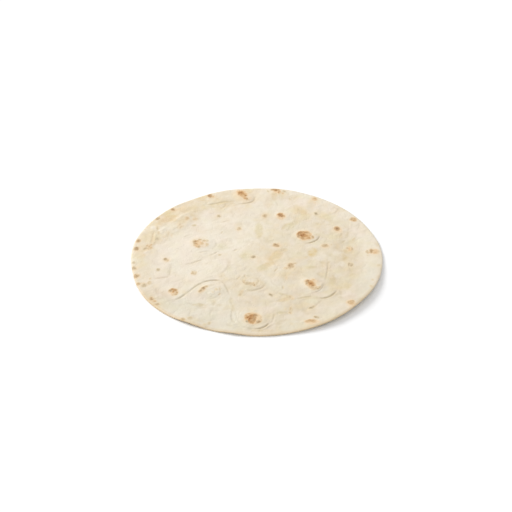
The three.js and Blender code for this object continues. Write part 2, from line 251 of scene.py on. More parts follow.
TOASTS = spots(
    # Blister at the near rim
    (-4, -100.3, 17, 17.5, 0, 0.3, 0.8), (-5.6, -101, 10.5, 13.5, -12, 0.62, 0.8),
    (-8.6, -98.9, 6, 4, 25, 0.92, 1.0), (-5, -96.8, 6.5, 4, 35, 0.94, 1.0),
    (-1.8, -95.6, 5.4, 3.8, -10, 0.84, 0.6), (-6.4, -99.6, 3.4, 6, -25, 0.98, 1.0),
    (-7.2, -103, 3.4, 6.5, -6, 0.96, 1.0), (-3, -101.5, 3.6, 8, 0, 0.7, 0.6),
    (-5.2, -106.2, 5.6, 4, 0, 0.72, 0.9), (-9.2, -105, 2.8, 4.6, 30, 0.72, 0.1),
    (-12, -104.4, 4, 6, 20, 0.16, 0.3), (1.4, -105.1, 4.4, 4.8, 0, 0.86, 0.4),
    (-7.3, -93.8, 5, 3, 10, 0.44, 0.8), (-10.2, -96.6, 3.6, 5.6, -10, 0.48, 0.8),
    (3.2, -100.8, 3, 9, 0, 0.36, 0.4),
    # Blister at the right
    (48.3, 34.7, 15.3, 16.8, 0, 0.4, 1.0), (43.8, 38.6, 9, 4.8, 52, 0.9, 0.8),
    (42.2, 35, 3, 6, 0, 0.74, 0.5), (46.6, 34.6, 7.6, 6.4, 10, 1.0, 1.0),
    (50, 33.4, 4.6, 4.8, 0, 0.78, 1.0), (47.5, 38.8, 6, 3.6, 10, 0.68, 1.0),
    (47.4, 41, 7, 3.4, 0, 0.72, 0.8), (50.4, 39.8, 4.6, 3.6, -15, 0.72, 0.7),
    (53.2, 38.4, 2.8, 4.6, 30, 0.46, 0.6), (52.2, 30, 6.4, 4.6, -15, 0.6, 0.9),
    (52.4, 29.4, 4.4, 3.8, 0, 0.68, 0.8), (46.4, 30, 4.4, 3.8, 0, 0.72, 0.7),
    (42.7, 31.8, 3, 3.8, 0, 0.68, 0.4), (56.6, 31.4, 2.6, 4.8, 0, 0.7, 0.4),
    # Blister at the near right
    (51.2, -47, 14, 9.5, -62, 0.4, 0.8), (56, -43, 6, 7, -30, 0.14, 1.0),
    (49.2, -42.8, 5, 4.6, 15, 0.82, 0.7), (47.6, -45.5, 2.8, 7, 0, 0.66, 0.4),
    (49.4, -45.2, 3.6, 4.4, 0, 0.62, 0.9), (51.8, -43.4, 4.6, 4, 0, 0.58, 1.0),
    (50.9, -46.9, 3.6, 5.6, 0, 0.9, 1.0), (52.9, -46.6, 3.4, 5.6, 0, 0.92, 1.0),
    (53.4, -49.8, 3.2, 4.4, 0, 0.88, 0.8), (53, -52.6, 4.6, 5, 0, 0.5, 0.5),
    (55.4, -55.4, 6, 4, 10, 0.38, 0.5), (57.2, -54.7, 4, 4, 20, 0.5, 0.3),
    (56.8, -52.8, 3.4, 4, 0, 0.42, 0.5), (54.2, -41, 3.8, 4, 0, 0.3, 0.8),
    (60, -52.4, 3, 4.6, -20, 0.56, 0.2), (50, -52.3, 2.8, 4, 0, 0.38, 0.6),
    # Blister at the left, browned at its left edge only
    (-57, 20.3, 16, 15.5, 0, 0.16, 0.9), (-58, 20.5, 21, 21, 0, 0.09, 1.0),
    (-59.5, 20, 7.5, 13.5, 0, 0.27, 1.0), (-63.4, 21.2, 3, 10.5, 0, 0.48, 0.4),
    (-59.6, 14.8, 5.6, 5, 0, 0.4, 0.9), (-61.4, 16.8, 3.6, 5, 0, 0.36, 0.9),
    (-62.2, 23.8, 3.6, 4.2, 0, 0.7, 0.6), (-61.8, 20, 3, 3.6, 0, 0.76, 0.7),
    (-60.2, 24.4, 4.4, 3, 15, 0.6, 0.8), (-60.3, 17.5, 3, 4, 0, 0.36, 1.0),
    (-58.6, 14.4, 4, 4.6, 0, 0.54, 0.5), (-58, 26.6, 4.4, 3.2, 0, 0.52, 0.3),
    (-53.8, 24.8, 3.2, 4.2, -20, 0.42, 0.3), (-50.4, 24.6, 2.8, 4.4, 0, 0.34, 0.1),
    (-50.4, 18, 3.4, 6.6, 0, 0.3, 0.3), (-55.4, 20, 3, 9, 0, 0.32, 0.6),
    # Blister at the far rim
    (-16, 112.3, 16, 10.8, -62, 0.32, 1.0), (-17.3, 117.4, 10, 6, 0, 0.4, 1.0),
    (-7.8, 104.6, 5, 6, 0, 0.14, 1.0), (-7.2, 104, 4.4, 7, 0, 0.14, 0.8),
    (-17.2, 115, 6.4, 7.2, 0, 0.87, 1.0), (-15.7, 113.8, 3.8, 5, 0, 0.92, 1.0),
    (-19.3, 112.6, 2.8, 5.5, 0, 0.68, 0.8), (-16.6, 110.4, 5, 4.6, 0, 0.56, 1.0),
    (-13.7, 111.6, 2.8, 4, 20, 0.62, 1.0), (-12.5, 109.4, 3.6, 4.2, -20, 0.8, 0.9),
    (-13.5, 107, 3.6, 4.4, 0, 0.42, 1.0), (-12.2, 103.4, 3.8, 4.4, 0, 0.72, 0.8),
    (-10.9, 103.2, 3, 4.6, 0, 0.82, 0.5),
    # Blister near the middle, crumbly and hardly browned
    (-6.5, -46.8, 13.5, 5.4, -14, 0.34, 0.2), (-12.7, -43.5, 2.8, 6.5, 10, 0.46, 0.2),
    (-10.4, -46.2, 4, 4.2, -15, 0.54, 0.1), (-6.3, -46.9, 4.2, 3.6, 0, 0.56, 0.3),
    (-2.6, -49.2, 3.6, 4.6, 10, 0.62, 0.3), (-3.8, -46.3, 2.8, 3.2, 0, 0.44, 0.4),
    (-0.6, -46.3, 2.4, 6.5, 0, 0.38, 0.1), (-11, -37.5, 2.6, 3.6, 0, 0.24, 0.0),
    (-12, -34.5, 2, 4, 20, 0.22, 0.0),
    # Blister at the near left
    (-54.3, -58.3, 2.8, 5.4, -25, 0.73, 0.3), (-51.4, -54.4, 3.3, 5.2, -35, 0.74, 0.3),
    (-49, -52, 2.8, 4, -50, 0.5, 0.3), (-53, -57, 6, 11, -35, 0.2, 0.9),
    (-36.2, -55.5, 2.6, 6, -10, 0.22, 0.2), (-39.3, -56, 3, 4, 0, 0.28, 0.1),
    (-42.5, -60, 3, 4, 10, 0.2, 0.0),
    # Spots along the far rim
    (21.6, 117, 8, 7, 0, 0.28, 1.0), (17.3, 121.2, 4.4, 3.4, 0, 0.8, 0.5),
    (20, 120.2, 4.8, 4, 0, 0.9, 0.8), (22.6, 120.6, 3.6, 3.2, 0, 0.76, 0.6),
    (23.9, 116.5, 2.8, 7.5, -8, 0.62, 0.7), (27.2, 113.6, 2.8, 4.6, 0, 0.44, 0.6),
    (29.3, 117.8, 3.6, 3.6, 0, 0.54, 0.1), (12, 118, 2.4, 6, 10, 0.3, 0.0),
    (35.2, 102, 3, 4, 0, 0.28, 0.1), (100, 64, 6.5, 8, 0, 0.46, 0.8),
    (98.5, 64.6, 2.8, 5.4, 0, 0.66, 0.5), (100.8, 61.6, 4.4, 2.8, 0, 0.62, 0.7),
    (101.6, 65.8, 3, 3, 0, 0.6, 0.6), (61.6, 102.6, 4, 6, 10, 0.5, 0.7), (60.6, 103, 6, 10, 0, 0.2, 0.9),
    (61, 95, 3, 5, 0, 0.2, 0.6), (-96, 62.5, 10, 9, 40, 0.28, 0.4), (-78, 94, 3, 5, 20, 0.22, 0.0),
    (-88, 81.6, 7.5, 9.5, 20, 0.18, 1.0), (-103.5, 66, 5, 6, 20, 0.64, 0.3),
    (-88.5, 82.3, 4, 6, 25, 0.8, 0.5), (-50.5, 109.5, 5.2, 8, 15, 0.82, 0.6),
    (-47.6, 107.6, 4.6, 5, 0, 0.36, 0.9),
    # Single spots on the right half
    (24.6, 72, 6.4, 8.4, 10, 0.88, 0.8), (28, 70.4, 2.8, 3.4, 0, 0.66, 0.6),
    (25, 69.6, 10, 12, 0, 0.24, 1.0), (8, 70.5, 5.2, 6.6, 0, 0.64, 0.3),
    (8, 70.2, 9.5, 12, 0, 0.13, 0.8), (61.5, 74, 3.5, 5.2, 0, 0.74, 0.0),
    (82.2, 46.6, 5.8, 8.2, 10, 0.84, 0.6), (83, 45, 10, 12, 10, 0.17, 1.0),
    (82.3, 46.8, 3.2, 5.4, 15, 0.92, 0.5), (68.6, 16.2, 6.8, 6, 0, 0.5, 0.4),
    (69, 16.5, 3.6, 4.4, 0, 0.72, 0.3), (19.4, 17.3, 6.5, 6.8, -25, 0.58, 0.5),
    (18.4, 18.4, 4.2, 4.8, 0, 0.84, 0.4), (21.4, 16, 3, 3.4, 0, 0.72, 0.4),
    (33.2, -17.5, 6.6, 8, 0, 0.6, 0.4), (31.8, -17.8, 3, 6, 0, 0.76, 0.4),
    (36.8, -13.8, 4.6, 2.8, 10, 0.4, 0.3), (29.3, -21.7, 5, 2.6, 0, 0.32, 0.4),
    (31.7, -20.9, 3.6, 3.8, 0, 0.46, 0.4), (91.8, -16.5, 5.4, 7.2, 0, 0.5, 0.1),
    (90.7, -16, 2.6, 6.4, 0, 0.6, 0.1), (93, -17, 2.6, 6.4, 0, 0.62, 0.1),
    (117.6, 7, 10.4, 9.4, 0, 0.31, 0.85), (117, 6.8, 14, 13, 0, 0.12, 1.0),
    (114.4, 7.4, 3.2, 7, -8, 0.74, 0.5), (115.8, 9, 3, 3.2, 0, 0.6, 0.6),
    (117, 4.4, 5.4, 3.4, 0, 0.46, 0.9), (121.6, 6.8, 3.2, 5.5, 0, 0.3, 0.3),
    (110.3, 5.8, 2.6, 5.8, 0, 0.48, 0.2), (112, 5, 2.4, 3, 0, 0.3, 0.9),
    (110, -0.5, 3.4, 3.4, 0, 0.22, 0.0), (98, 27.5, 2.6, 6.5, -25, 0.28, 0.2),
    (75, 18.3, 1.8, 2.8, 0, 0.36, 0.1), (93.2, 10.6, 6, 8, 0, 0.28, 0.9),
    (90.8, 12, 2.6, 5, 0, 0.48, 0.3), (95, 11, 2.6, 6.4, 0, 0.56, 0.3), (92.6, 8.2, 4, 3, 0, 0.34, 0.6),
    (88.5, -75.6, 6.2, 6.8, 0, 0.54, 0.7), (86.6, -75.5, 2.8, 5, 0, 0.62, 0.5),
    (89.6, -73.6, 4, 2.8, 0, 0.58, 0.5), (49.8, -103.8, 12, 5, 5, 0.52, 0.7),
    (47.2, -104, 5, 3.6, 0, 0.57, 0.6), (52.2, -103.3, 5.6, 3.6, 5, 0.59, 0.6),
    (51.5, -105.6, 15, 6, 14, 0.2, 1.0), (54.4, -98.4, 5, 3, -5, 0.76, 0.1),
    (13, -64.6, 2.7, 5, 30, 0.82, 0.0), (109.5, -50.5, 4, 3.4, 0, 0.34, 0.1),
    (120, -16, 3.2, 3.6, 0, 0.36, 0.0), (112, -40, 2.8, 3.2, 0, 0.3, 0.0),
    (31.2, -86, 2.8, 5.4, 0, 0.48, 0.2), (30.8, -91.8, 4, 3.6, 0, 0.46, 0.2),
    (27, -87, 3, 4.4, 0, 0.26, 0.0), (51.2, -84.5, 7.5, 3.4, 40, 0.54, 0.1),
    (51, -84.7, 3.8, 3.6, 20, 0.76, 0.0), (18.5, -25, 2, 5, -35, 0.28, 0.0),
    (25, -53, 2.2, 4.5, 0, 0.26, 0.0), (26.4, 8.5, 8, 5, 0, 0.3, 0.1), (31.4, -108, 4, 5, 0, 0.17, 0.0),
    (28.3, -38, 3, 8, 0, 0.24, 0.4), (31.8, -68, 4, 5, 0, 0.34, 0.3), (26.5, -71.6, 9, 3, 20, 0.3, 0.3),
    (33.6, -70.6, 3.8, 4, 0, 0.36, 0.3), (28.3, -22.4, 5, 4, 0, 0.34, 0.4),
    (48.5, -4, 4, 3, 20, 0.24, 0.0), (20, 16.8, 10.5, 10, -25, 0.16, 1.0),
    (68.6, 16, 9.5, 9, 0, 0.16, 1.0), (33, -17.6, 10, 11, 0, 0.14, 1.0),
    (88.2, -76.3, 10, 11, 0, 0.19, 1.0),
    # Single spots on the left half
    (-18, -38, 2, 5, -30, 0.22, 0.0), (-36, -63.5, 3, 5, -20, 0.22, 0.2),
    (-16.4, -64.8, 2.8, 4.4, -25, 0.44, 0.1), (-14.6, -60.5, 2.6, 8, -22, 0.28, 0.3),
    (-3.7, -2.6, 4.4, 4, 20, 0.7, 0.1), (-61.4, -29.4, 5, 6.2, 0, 0.28, 0.4),
    (-62.8, -29.2, 2.2, 5.6, 0, 0.47, 0.3), (-59.8, -29.4, 2, 5, 0, 0.38, 0.2),
    (-61.4, -31.6, 3.2, 2.2, 0, 0.38, 0.2), (-61.6, -30.2, 9, 10, 0, 0.1, 1.0),
    (-91, -7, 3.7, 4.2, 0, 0.78, 0.2), (-89.2, -8.3, 3.8, 4.2, 0, 0.38, 0.4),
    (-97, -24.5, 3.6, 4.6, 0, 0.66, 0.0), (-80, -60, 9, 10.5, -20, 0.22, 1.0),
    (-82.8, -58.2, 3.6, 3.6, 0, 0.74, 0.4), (-80.8, -56.8, 4.4, 3.6, 0, 0.78, 0.9),
    (-78.4, -57.2, 3.6, 4.2, 20, 0.78, 0.7), (-80, -59.6, 2.8, 3.8, 0, 0.76, 0.9),
    (-76.8, -61, 2.6, 5, 0, 0.62, 0.6), (-77.8, -64, 3.6, 3.2, 0, 0.64, 0.5),
    (-80.4, -65.2, 2.6, 2.6, 0, 0.32, 0.4),
    (-18.4, 46.2, 4.3, 5.3, 0, 0.42, 0.3), (-18.8, 46, 10, 12, 0, 0.09, 1.0),
    (-40, 70.3, 3.8, 4.4, 0, 0.58, 0.1), (-40.4, 70.3, 10, 11, 0, 0.07, 1.0),
    (-36.8, 0.6, 2, 2.6, 0, 0.5, 0.0), (-36, 40, 2, 4, -20, 0.18, 0.0),
    (-72.8, 65, 4.4, 8.4, -10, 0.36, 0.5), (-64.5, 64.5, 6, 6, 0, 0.24, 0.5),
    (-65, 52.6, 5, 3.6, 0, 0.38, 0.0), (-80, 52.7, 5, 7, 15, 0.18, 0.5),
    (-78.3, 49, 3.4, 7, -15, 0.16, 0.5), (-81.5, 48.5, 3, 5, 0, 0.16, 0.5),
    (-90.5, 38, 2.6, 8, 0, 0.17, 0.3), (-87, 35, 2.8, 8, 10, 0.15, 0.6), (-95, 33, 2.6, 6, 0, 0.16, 0.4),
    (-90.2, -7.6, 8, 8, 0, 0.15, 1.0), (-3.6, -2.8, 8, 7.5, 20, 0.14, 1.0),
    # Spots along the left and the near rim
    (-100.5, -70, 4.4, 5, 0, 0.76, 0.4),
    (-97.5, -73.5, 4.5, 3, -40, 0.6, 0.6), (-94, -79, 5, 4.2, 0, 0.66, 0.2),
    (-103.8, -39.4, 3, 3.6, 0, 0.24, 0.2), (-112.4, 11.5, 2.8, 5.6, -25, 0.52, 0.2),
    (-109, 13.6, 7, 9, -30, 0.24, 0.6), (-110.4, 16.4, 2.6, 4.4, -30, 0.42, 0.5),
    (-108.4, 15, 2.6, 5, -35, 0.46, 0.6), (-106.8, 12.2, 2.6, 4.6, -20, 0.46, 0.6),
    (-108.8, 11.4, 2.6, 4, -20, 0.42, 0.5), (-106.8, 18, 2.6, 4, -30, 0.42, 0.6),
    (-104, 20.5, 3, 7, -20, 0.24, 0.2), (-115, 7, 3.2, 3.8, 0, 0.28, 0.1),
    (-106.3, 30, 2, 20, 0, 0.24, 0.3), (-101, 28.6, 4, 4.8, 0, 0.44, 0.0),
    (-101.8, 47.3, 2.8, 4.6, 10, 0.36, 0.1), (-100.6, 39.6, 3, 5, 0, 0.3, 0.2),
    (-113, 0, 5, 6, 0, 0.2, 0.2), (-120.6, 24, 7, 9.5, 0, 0.18, 1.0), (-120.4, 11, 7.5, 9, 0, 0.18, 1.0),
    (-120.4, -21.6, 7, 8.5, 0, 0.18, 1.0), (-117.4, -34.6, 8.5, 9.5, 0, 0.18, 1.0),
    (-121, 11.5, 5, 6, 0, 0.8, 0.4), (-120, 25, 4.8, 6.6, 0, 0.68, 0.5),
    (-122, -12, 3.4, 4.4, 0, 0.46, 0.0), (-121, -21, 4.6, 5.6, 0, 0.68, 0.2),
    (-118, -34, 5.8, 6.6, 0, 0.68, 0.4), (-115, -47, 4.4, 5, 0, 0.58, 0.4),
    (-109.3, -49.5, 5, 5.2, 0, 0.52, 0.1), (-104, -46, 4, 6, 0, 0.36, 0.2),
    (-110, -48.5, 13, 7, 0, 0.16, 0.7), (-69, -101, 4.6, 4, 0, 0.58, 0.1),
    (-62.5, -99.7, 4.4, 4, 0, 0.44, 0.0), (-48.5, -108.8, 4.4, 4, 0, 0.3, 0.0),
    (-44, -107.5, 2.8, 5, -20, 0.4, 0.0),
)
TOAST_WARP = Ripple(5, 12, 0.22, 360)  # how the edges of toasted spots wander
TOAST_EDGE = 4.0  # width of the soft edge
FINEST_EDGE = 0.8  # width of the soft edge of a small spot, as a share of how wide the spot is
TOAST_RISE = 0.12  # height of the puffed crust where it is brownest
HALO_OUT = 3.2  # from the edge of a toasted spot to the middle of the light ring round it
HALO_WIDTH = 1.8
HALO_FROM = 0.45  # how brown a spot is at least to have a ring

# Where the painted shade on the edge of the rim, a warm brown as of a shaded gap under it, grows towards the
# near side, and over what length
EDGE_FROM = -20
EDGE_SPREAD = 70
EDGE_REACH = 1.0  # how far that painted shade reaches onto the top
EDGE_ON_TOP = 0.35  # how strong it is there

# Toasted spots of the underside, which are strewn at random
UNDER_TOASTS = 90
UNDER_TOAST_LENGTHS = (3, 15)
UNDER_TOAST_WIDTHS = (0.6, 1)  # as a share of the length
UNDER_TOAST_BROWNS = (0.35, 0.95)
UNDER_TOAST_SKEW = 1.6  # over 1, small spots are the commoner ones

PATCH_EDGE = 0.9  # soft part of a patch, as a share of its half-width

# Patches of the dough: darker, paler, greyer, duskier, pinker, more golden, more olive, rosier and greener.
# A few paler and darker ones are painted light and shade, on folds, round blisters and where the rim lifts
TANS = ovals(
    # Near left
    (-10, -54, 50, 34, 10, 0.7), (-92, -70, 36, 24, -42, 1.0), (-112, -32, 18, 38, 0, 0.35),
    (-86.5, -27, 5, 20, 0, 0.35), (-93, -37, 14, 5, 8, 0.3), (-16, -74, 12, 7, 0, 0.6),
    (-42.5, -89, 4, 9, 15, 0.4),
    # Near right
    # Partly painted shade: (72, -45), (90, -46) and (96, -59) are darker to offset the light that the lifted
    # near-right rim catches
    (64, -12, 120, 184, 0, 0.5), (72, -45, 50, 62, -20, 1.0), (90, -46, 30, 52, -20, 1.0),
    (44, -84, 74, 50, 12, 1.0), (10, -112, 50, 20, 0, 0.9), (0, -88, 46, 34, 0, 0.6),
    (8, -70, 34, 24, 0, 0.7), (96, -59, 25, 46, -25, 0.8),
    # Far left
    # The tan oval at (-79, 63) is painted shade on the lower side of the raised fold
    (-3, 117, 13, 9, 0, 0.4), (-88, 72, 44, 20, 55, 0.5), (-79, 63, 20, 6, 52, 0.25),
    # Far right
    (90, 0, 34, 96, 0, 1.0), (74, 49, 28, 34, 0, 0.72),
)
PALES = ovals(
    # Near left
    (-55, -26, 40, 26, 0, 0.5), (-34, -12, 26, 34, 0, 0.4), (-80, -46, 44, 26, 0, 0.3),
    (-33, -64, 12, 10, 0, 0.25), (-67, -82.5, 15, 11, 20, 0.4), (-101.5, -29, 7, 9, 0, 0.5),
    # The pale oval at (-4.5, -62.6) is painted light, against the shade below the blister near the middle
    (-4.5, -62.6, 12, 6, 5, 0.35), (-45.5, -62, 4.5, 5, 0, 0.6), (-5, -41.5, 8, 5, 0, 0.35),
    (-30, -60, 14, 34, 0, 0.22),
    # Near right
    (108, -53, 8, 26, -27, 0.35), (67, -54, 5, 8, -20, 0.4), (60.6, -57.6, 8, 5, 40, 0.45),
    (83.4, -14.2, 6, 8, 0, 0.4), (37, -1, 12, 10, 0, 0.22), (100, -60, 10, 17, -30, 0.95),
    (21.6, -84.8, 7, 8, 0, 0.35),
    # Far left
    (-30, 38, 58, 88, -10, 0.38), (-72, 0, 66, 92, 0, 0.41), (-57, 22, 46, 42, 0, 0.44),
    # Painted light: highlights along the raised fold at (-85, 62.5), (-82, 64.2) and (-74.3, 73.5) and on
    # the bumps at (-97, 45) and (-107, 49.5), and lighter dough where folds and blisters shade it at (-85,
    # 46), (-96, 41.5) and (-69, 54.5)
    (-92, 14, 22, 34, 0, 0.46), (-52, 62, 15, 44, -10, 0.55), (-85, 62.5, 14, 3.6, 62, 0.55),
    (-82, 64.2, 13, 4, 60, 0.36), (-74.3, 73.5, 14, 4.4, 42, 0.4), (-66, 92, 34, 10, 32, 0.25),
    (-85, 46, 9, 14, -15, 0.85), (-100, 2, 8, 9, 0, 0.4), (-96, 31, 8, 9, 0, 0.4),
    (-49, 16, 13, 13, 0, 0.6), (-34, 43, 11, 12, 0, 0.55), (-96, 41.5, 5, 7, -25, 0.95),
    (-20, 97, 9, 6, 10, 0.5), (-69, 54.5, 7, 10, -20, 0.5), (-50, 8.5, 13, 9, 0, 0.6),
    (-110, 5.5, 7, 6, 40, 0.6), (-107, 49.5, 5, 6.5, 0, 0.55), (-97, 45, 7, 12, -25, 0.75),
    # Far right
    (10, 100, 24, 40, 0, 0.26), (28, 92, 22, 26, 0, 0.3), (48, 100, 11, 22, -15, 0.4),
    (76, 88, 34, 24, -45, 0.35), (0, 84, 14, 20, 0, 0.35), (107, 22, 22, 44, 0, 0.35),
    (94, 31, 14, 16, 0, 0.4), (12, 41, 28, 34, 0, 0.18), (86.5, 14, 8, 11, 0, 0.25),
    (14.6, 15.6, 7, 8, 0, 0.4), (79, 3, 8, 8, 0, 0.4), (32, 61, 12, 10, 0, 0.35),
    (45, 53, 8, 9, 0, 0.35), (70, 59, 9, 9, 0, 0.5), (93.4, 58.6, 7, 9, 0, 0.4),
    (115.5, 17, 8, 11, 0, 0.55), (41, 7, 12, 10, 0, 0.2), (90, 72, 20, 22, -30, 0.35),
    (112, 14, 16, 80, 0, 0.35), (106, 46, 18, 36, 25, 0.35),
)
GREYS = ovals(
    # Near left
    (-68, -85, 46, 30, -35, 1.0), (-32, -104, 56, 32, 0, 1.0), (-45, -76, 66, 44, 0, 0.6),
    (-30, -70, 12, 16, 0, 0.8), (-80.5, -14, 15, 14, 0, 0.35), (-82, -48, 36, 20, 0, 0.25),
    # Near right
    (72, -90, 50, 22, 42, 0.6), (105, -40, 20, 52, -20, 0.9), (14, -33, 16, 14, 0, 0.4),
    (51, -75, 13, 8, 0, 0.6), (32, -110, 32, 14, 10, 0.8), (76, -82, 20, 14, 40, 0.6),
    (20, -46, 30, 22, 0, 0.5), (43, -46, 10, 20, 0, 0.2), (24, -82, 11, 10, 0, 0.4),
    (44, -86, 92, 48, 15, 0.25), (78, -48, 40, 30, 0, 0.22), (9, -51, 16, 14, 0, 0.3),
    (70, -76, 28, 34, 0, 0.4), (71, -16, 18, 54, 0, 0.25),
    # Far left
    (-68, 29, 8, 8, 0, 0.5), (-84, 89, 26, 7, 42, 0.6), (-105, 60, 18, 6, 60, 0.5),
    # Far right
    (45, 54, 18, 16, 0, 0.4),
)
DUSKS = ovals(
    # Near left
    (-57, -63, 14, 10, 0, 0.16), (-45, -49.3, 8, 3.6, 10, 0.35), (-14, -76, 8, 8, 0, 0.3),
    (-41, -86, 9, 6, 0, 0.35), (-47, -36.8, 7, 6, 0, 0.3), (-98.8, -15.2, 7, 6, 0, 0.3),
    (-91, -72, 28, 18, -42, 0.34), (-8, -30, 24, 24, 0, 0.14), (-30, -112, 28, 12, 0, 0.16),
    # Near right
    (85, -58, 34, 42, -25, 0.45), (82.5, -63.5, 18, 15, 0, 0.88), (42, -82, 18, 16, 0, 0.45),
    (88, -63, 16, 14, 0, 0.5), (34.8, -61.3, 10, 6, 0, 0.4), (44, -58, 12, 8, 0, 0.22),
    (63, -40, 5.5, 11, -8, 0.75), (34, -70.3, 6, 5, 0, 0.4), (4, -64, 8, 6, 0, 0.28),
    (3, -117.8, 16, 4, 0, 0.25), (23, -102, 8, 8, 0, 0.4), (57, -41.8, 9, 9, 0, 0.3),
    (34, -65, 13, 8, 0, 0.28), (75.8, -14.8, 6, 8, 0, 0.4), (44, -58, 10, 8, 0, 0.3),
    (90, -34, 22, 34, 0, 0.2), (52, -88, 30, 18, 25, 0.38), (30, -90, 26, 16, 0, 0.2),
    (58, -30, 20, 22, 0, 0.12),
    # Far left
    (-97, 75, 16, 5, 52, 0.4), (-81, 93, 14, 5, 40, 0.4), (-10, 56, 7, 8, 0, 0.3),
    (-28.8, 27.2, 7, 7, 0, 0.3), (-30, 98.8, 9, 6, 10, 0.4), (-8.8, 23.2, 7, 7, 0, 0.3),
    # Far right
    (26.5, 8.5, 9, 7, 0, 0.35), (12, 24, 9, 6, 0, 0.3), (67, 44, 10, 10, 0, 0.15),
    (22, 106, 16, 18, 0, 0.16),
)
PINKS = ovals(
    # Near right
    (57, -41.8, 12, 9, 0, 0.5), (17, -2, 26, 15, 60, 0.4), (60, -42, 10, 8, 0, 0.5),
    # Far left
    (-92, 74, 60, 22, 55, 1.0), (-73, 64, 24, 40, -15, 0.16), (-31, 70, 16, 18, 0, 0.14),
    (-80, 52, 9, 14, 0, 0.3), (-111, 24, 18, 50, -8, 0.6), (-13, 109, 30, 26, -50, 0.85),
    (-34, 106, 30, 22, 5, 0.25),
    # Far right
    (22, 111, 20, 24, 0, 0.5), (46, 77, 16, 32, 15, 0.5), (61, 98, 12, 16, 0, 0.6),
)
GOLDS = ovals(
    # Near left
    (-116, -7, 8, 16, 0, 0.2), (-14, -117.4, 14, 4.4, -6, 0.3), (-4, -23, 14, 12, 0, 0.22),
    (-2, -13, 12, 10, 0, 0.2), (-58, -102, 18, 6, -25, 0.25), (-10.5, -2, 13, 11, 0, 0.38),
    (-22, -85, 5, 13, 0, 0.12),
    # Near right
    (15.6, -5.2, 13, 8.4, 50, 0.66), (11, -16, 21, 8.5, 55, 0.64), (34, -30, 30, 20, 20, 0.25),
    (38, -5, 22, 14, 0, 0.12), (68, -18, 10, 24, 0, 0.3), (36, -111, 18, 9, 12, 0.2),
    (4, -118.4, 22, 4.4, 0, 0.4), (26, -72, 14, 4.5, 20, 0.5), (31.5, -68, 7, 6, 0, 0.6),
    (83, -52, 15, 10, 30, 0.4), (73.5, -43, 6, 16, -8, 0.2),
    # Far left
    (-33, 62, 12, 8, 20, 0.18), (-83.8, 73, 7, 10, -40, 1.0), (-84.6, 62.6, 5, 15, -32, 0.5),
    (-20, 83, 14, 10, 0, 0.2), (-46, 100.5, 13, 8, 10, 0.5), (-47, 78, 8, 8, 0, 0.35),
    (-66, 97, 14, 8, 30, 0.3), (-19, 53, 10, 13, 0, 0.28), (-90, 74, 12, 13, 0, 1.0),
    (-95, 62.5, 14, 10, 40, 0.8), (-58, 88.5, 52, 16, 28, 0.38), (-54.5, 105, 22, 14, 10, 0.62),
    (-96, 36, 13, 26, 0, 0.28), (-86, 46, 8, 18, -15, 0.25), (-105, 0, 10, 26, 0, 0.15),
    (-100, 26, 12, 15, 0, 0.45), (-107, 8, 12, 10, 0, 0.25), (-40, 82, 12, 18, 0, 0.3),
    (-45, 70, 10, 13, 0, 0.2), (-72, 67, 18, 20, 40, 0.38), (-36, 92, 40, 14, 10, 0.5),
    (-58, 97, 26, 12, 25, 0.42), (-88, 70, 26, 11, 55, 0.6), (-79, 54, 12, 26, -15, 0.2),
    (-65, 84, 8, 18, -10, 0.4),
    # Far right
    (20.5, 0.5, 15, 9, 75, 1.0), (55.5, 5, 8.5, 15, -15, 1.0), (88.3, 1.5, 7, 20, -10, 0.6),
    (95.5, 15, 10, 22, 0, 0.4), (81.5, 15, 4.5, 9, 0, 0.25), (48.3, 76, 6, 18, 10, 0.55),
    (40, 72, 10, 20, 0, 0.35), (56.5, 90, 8, 18, 0, 0.4), (18.5, 108, 6, 18, 0, 0.55),
    (40, 82, 12, 14, 0, 0.35), (43.5, 106, 14, 12, 0, 0.3), (12, 94, 10, 18, 0, 0.35),
    (65, 54, 13, 17, 0, 0.38), (72, 68, 13, 12, 0, 0.35), (79, 74, 10, 11, 0, 0.35),
    (86, 84, 14, 14, 0, 0.35), (8, 63, 9, 9, 0, 0.25), (32, 51, 9, 14, -45, 0.5),
    (39, 57, 7, 11, -40, 0.12), (2, 42, 8, 28, 0, 0.5), (10, 34, 20, 22, 0, 0.2),
)
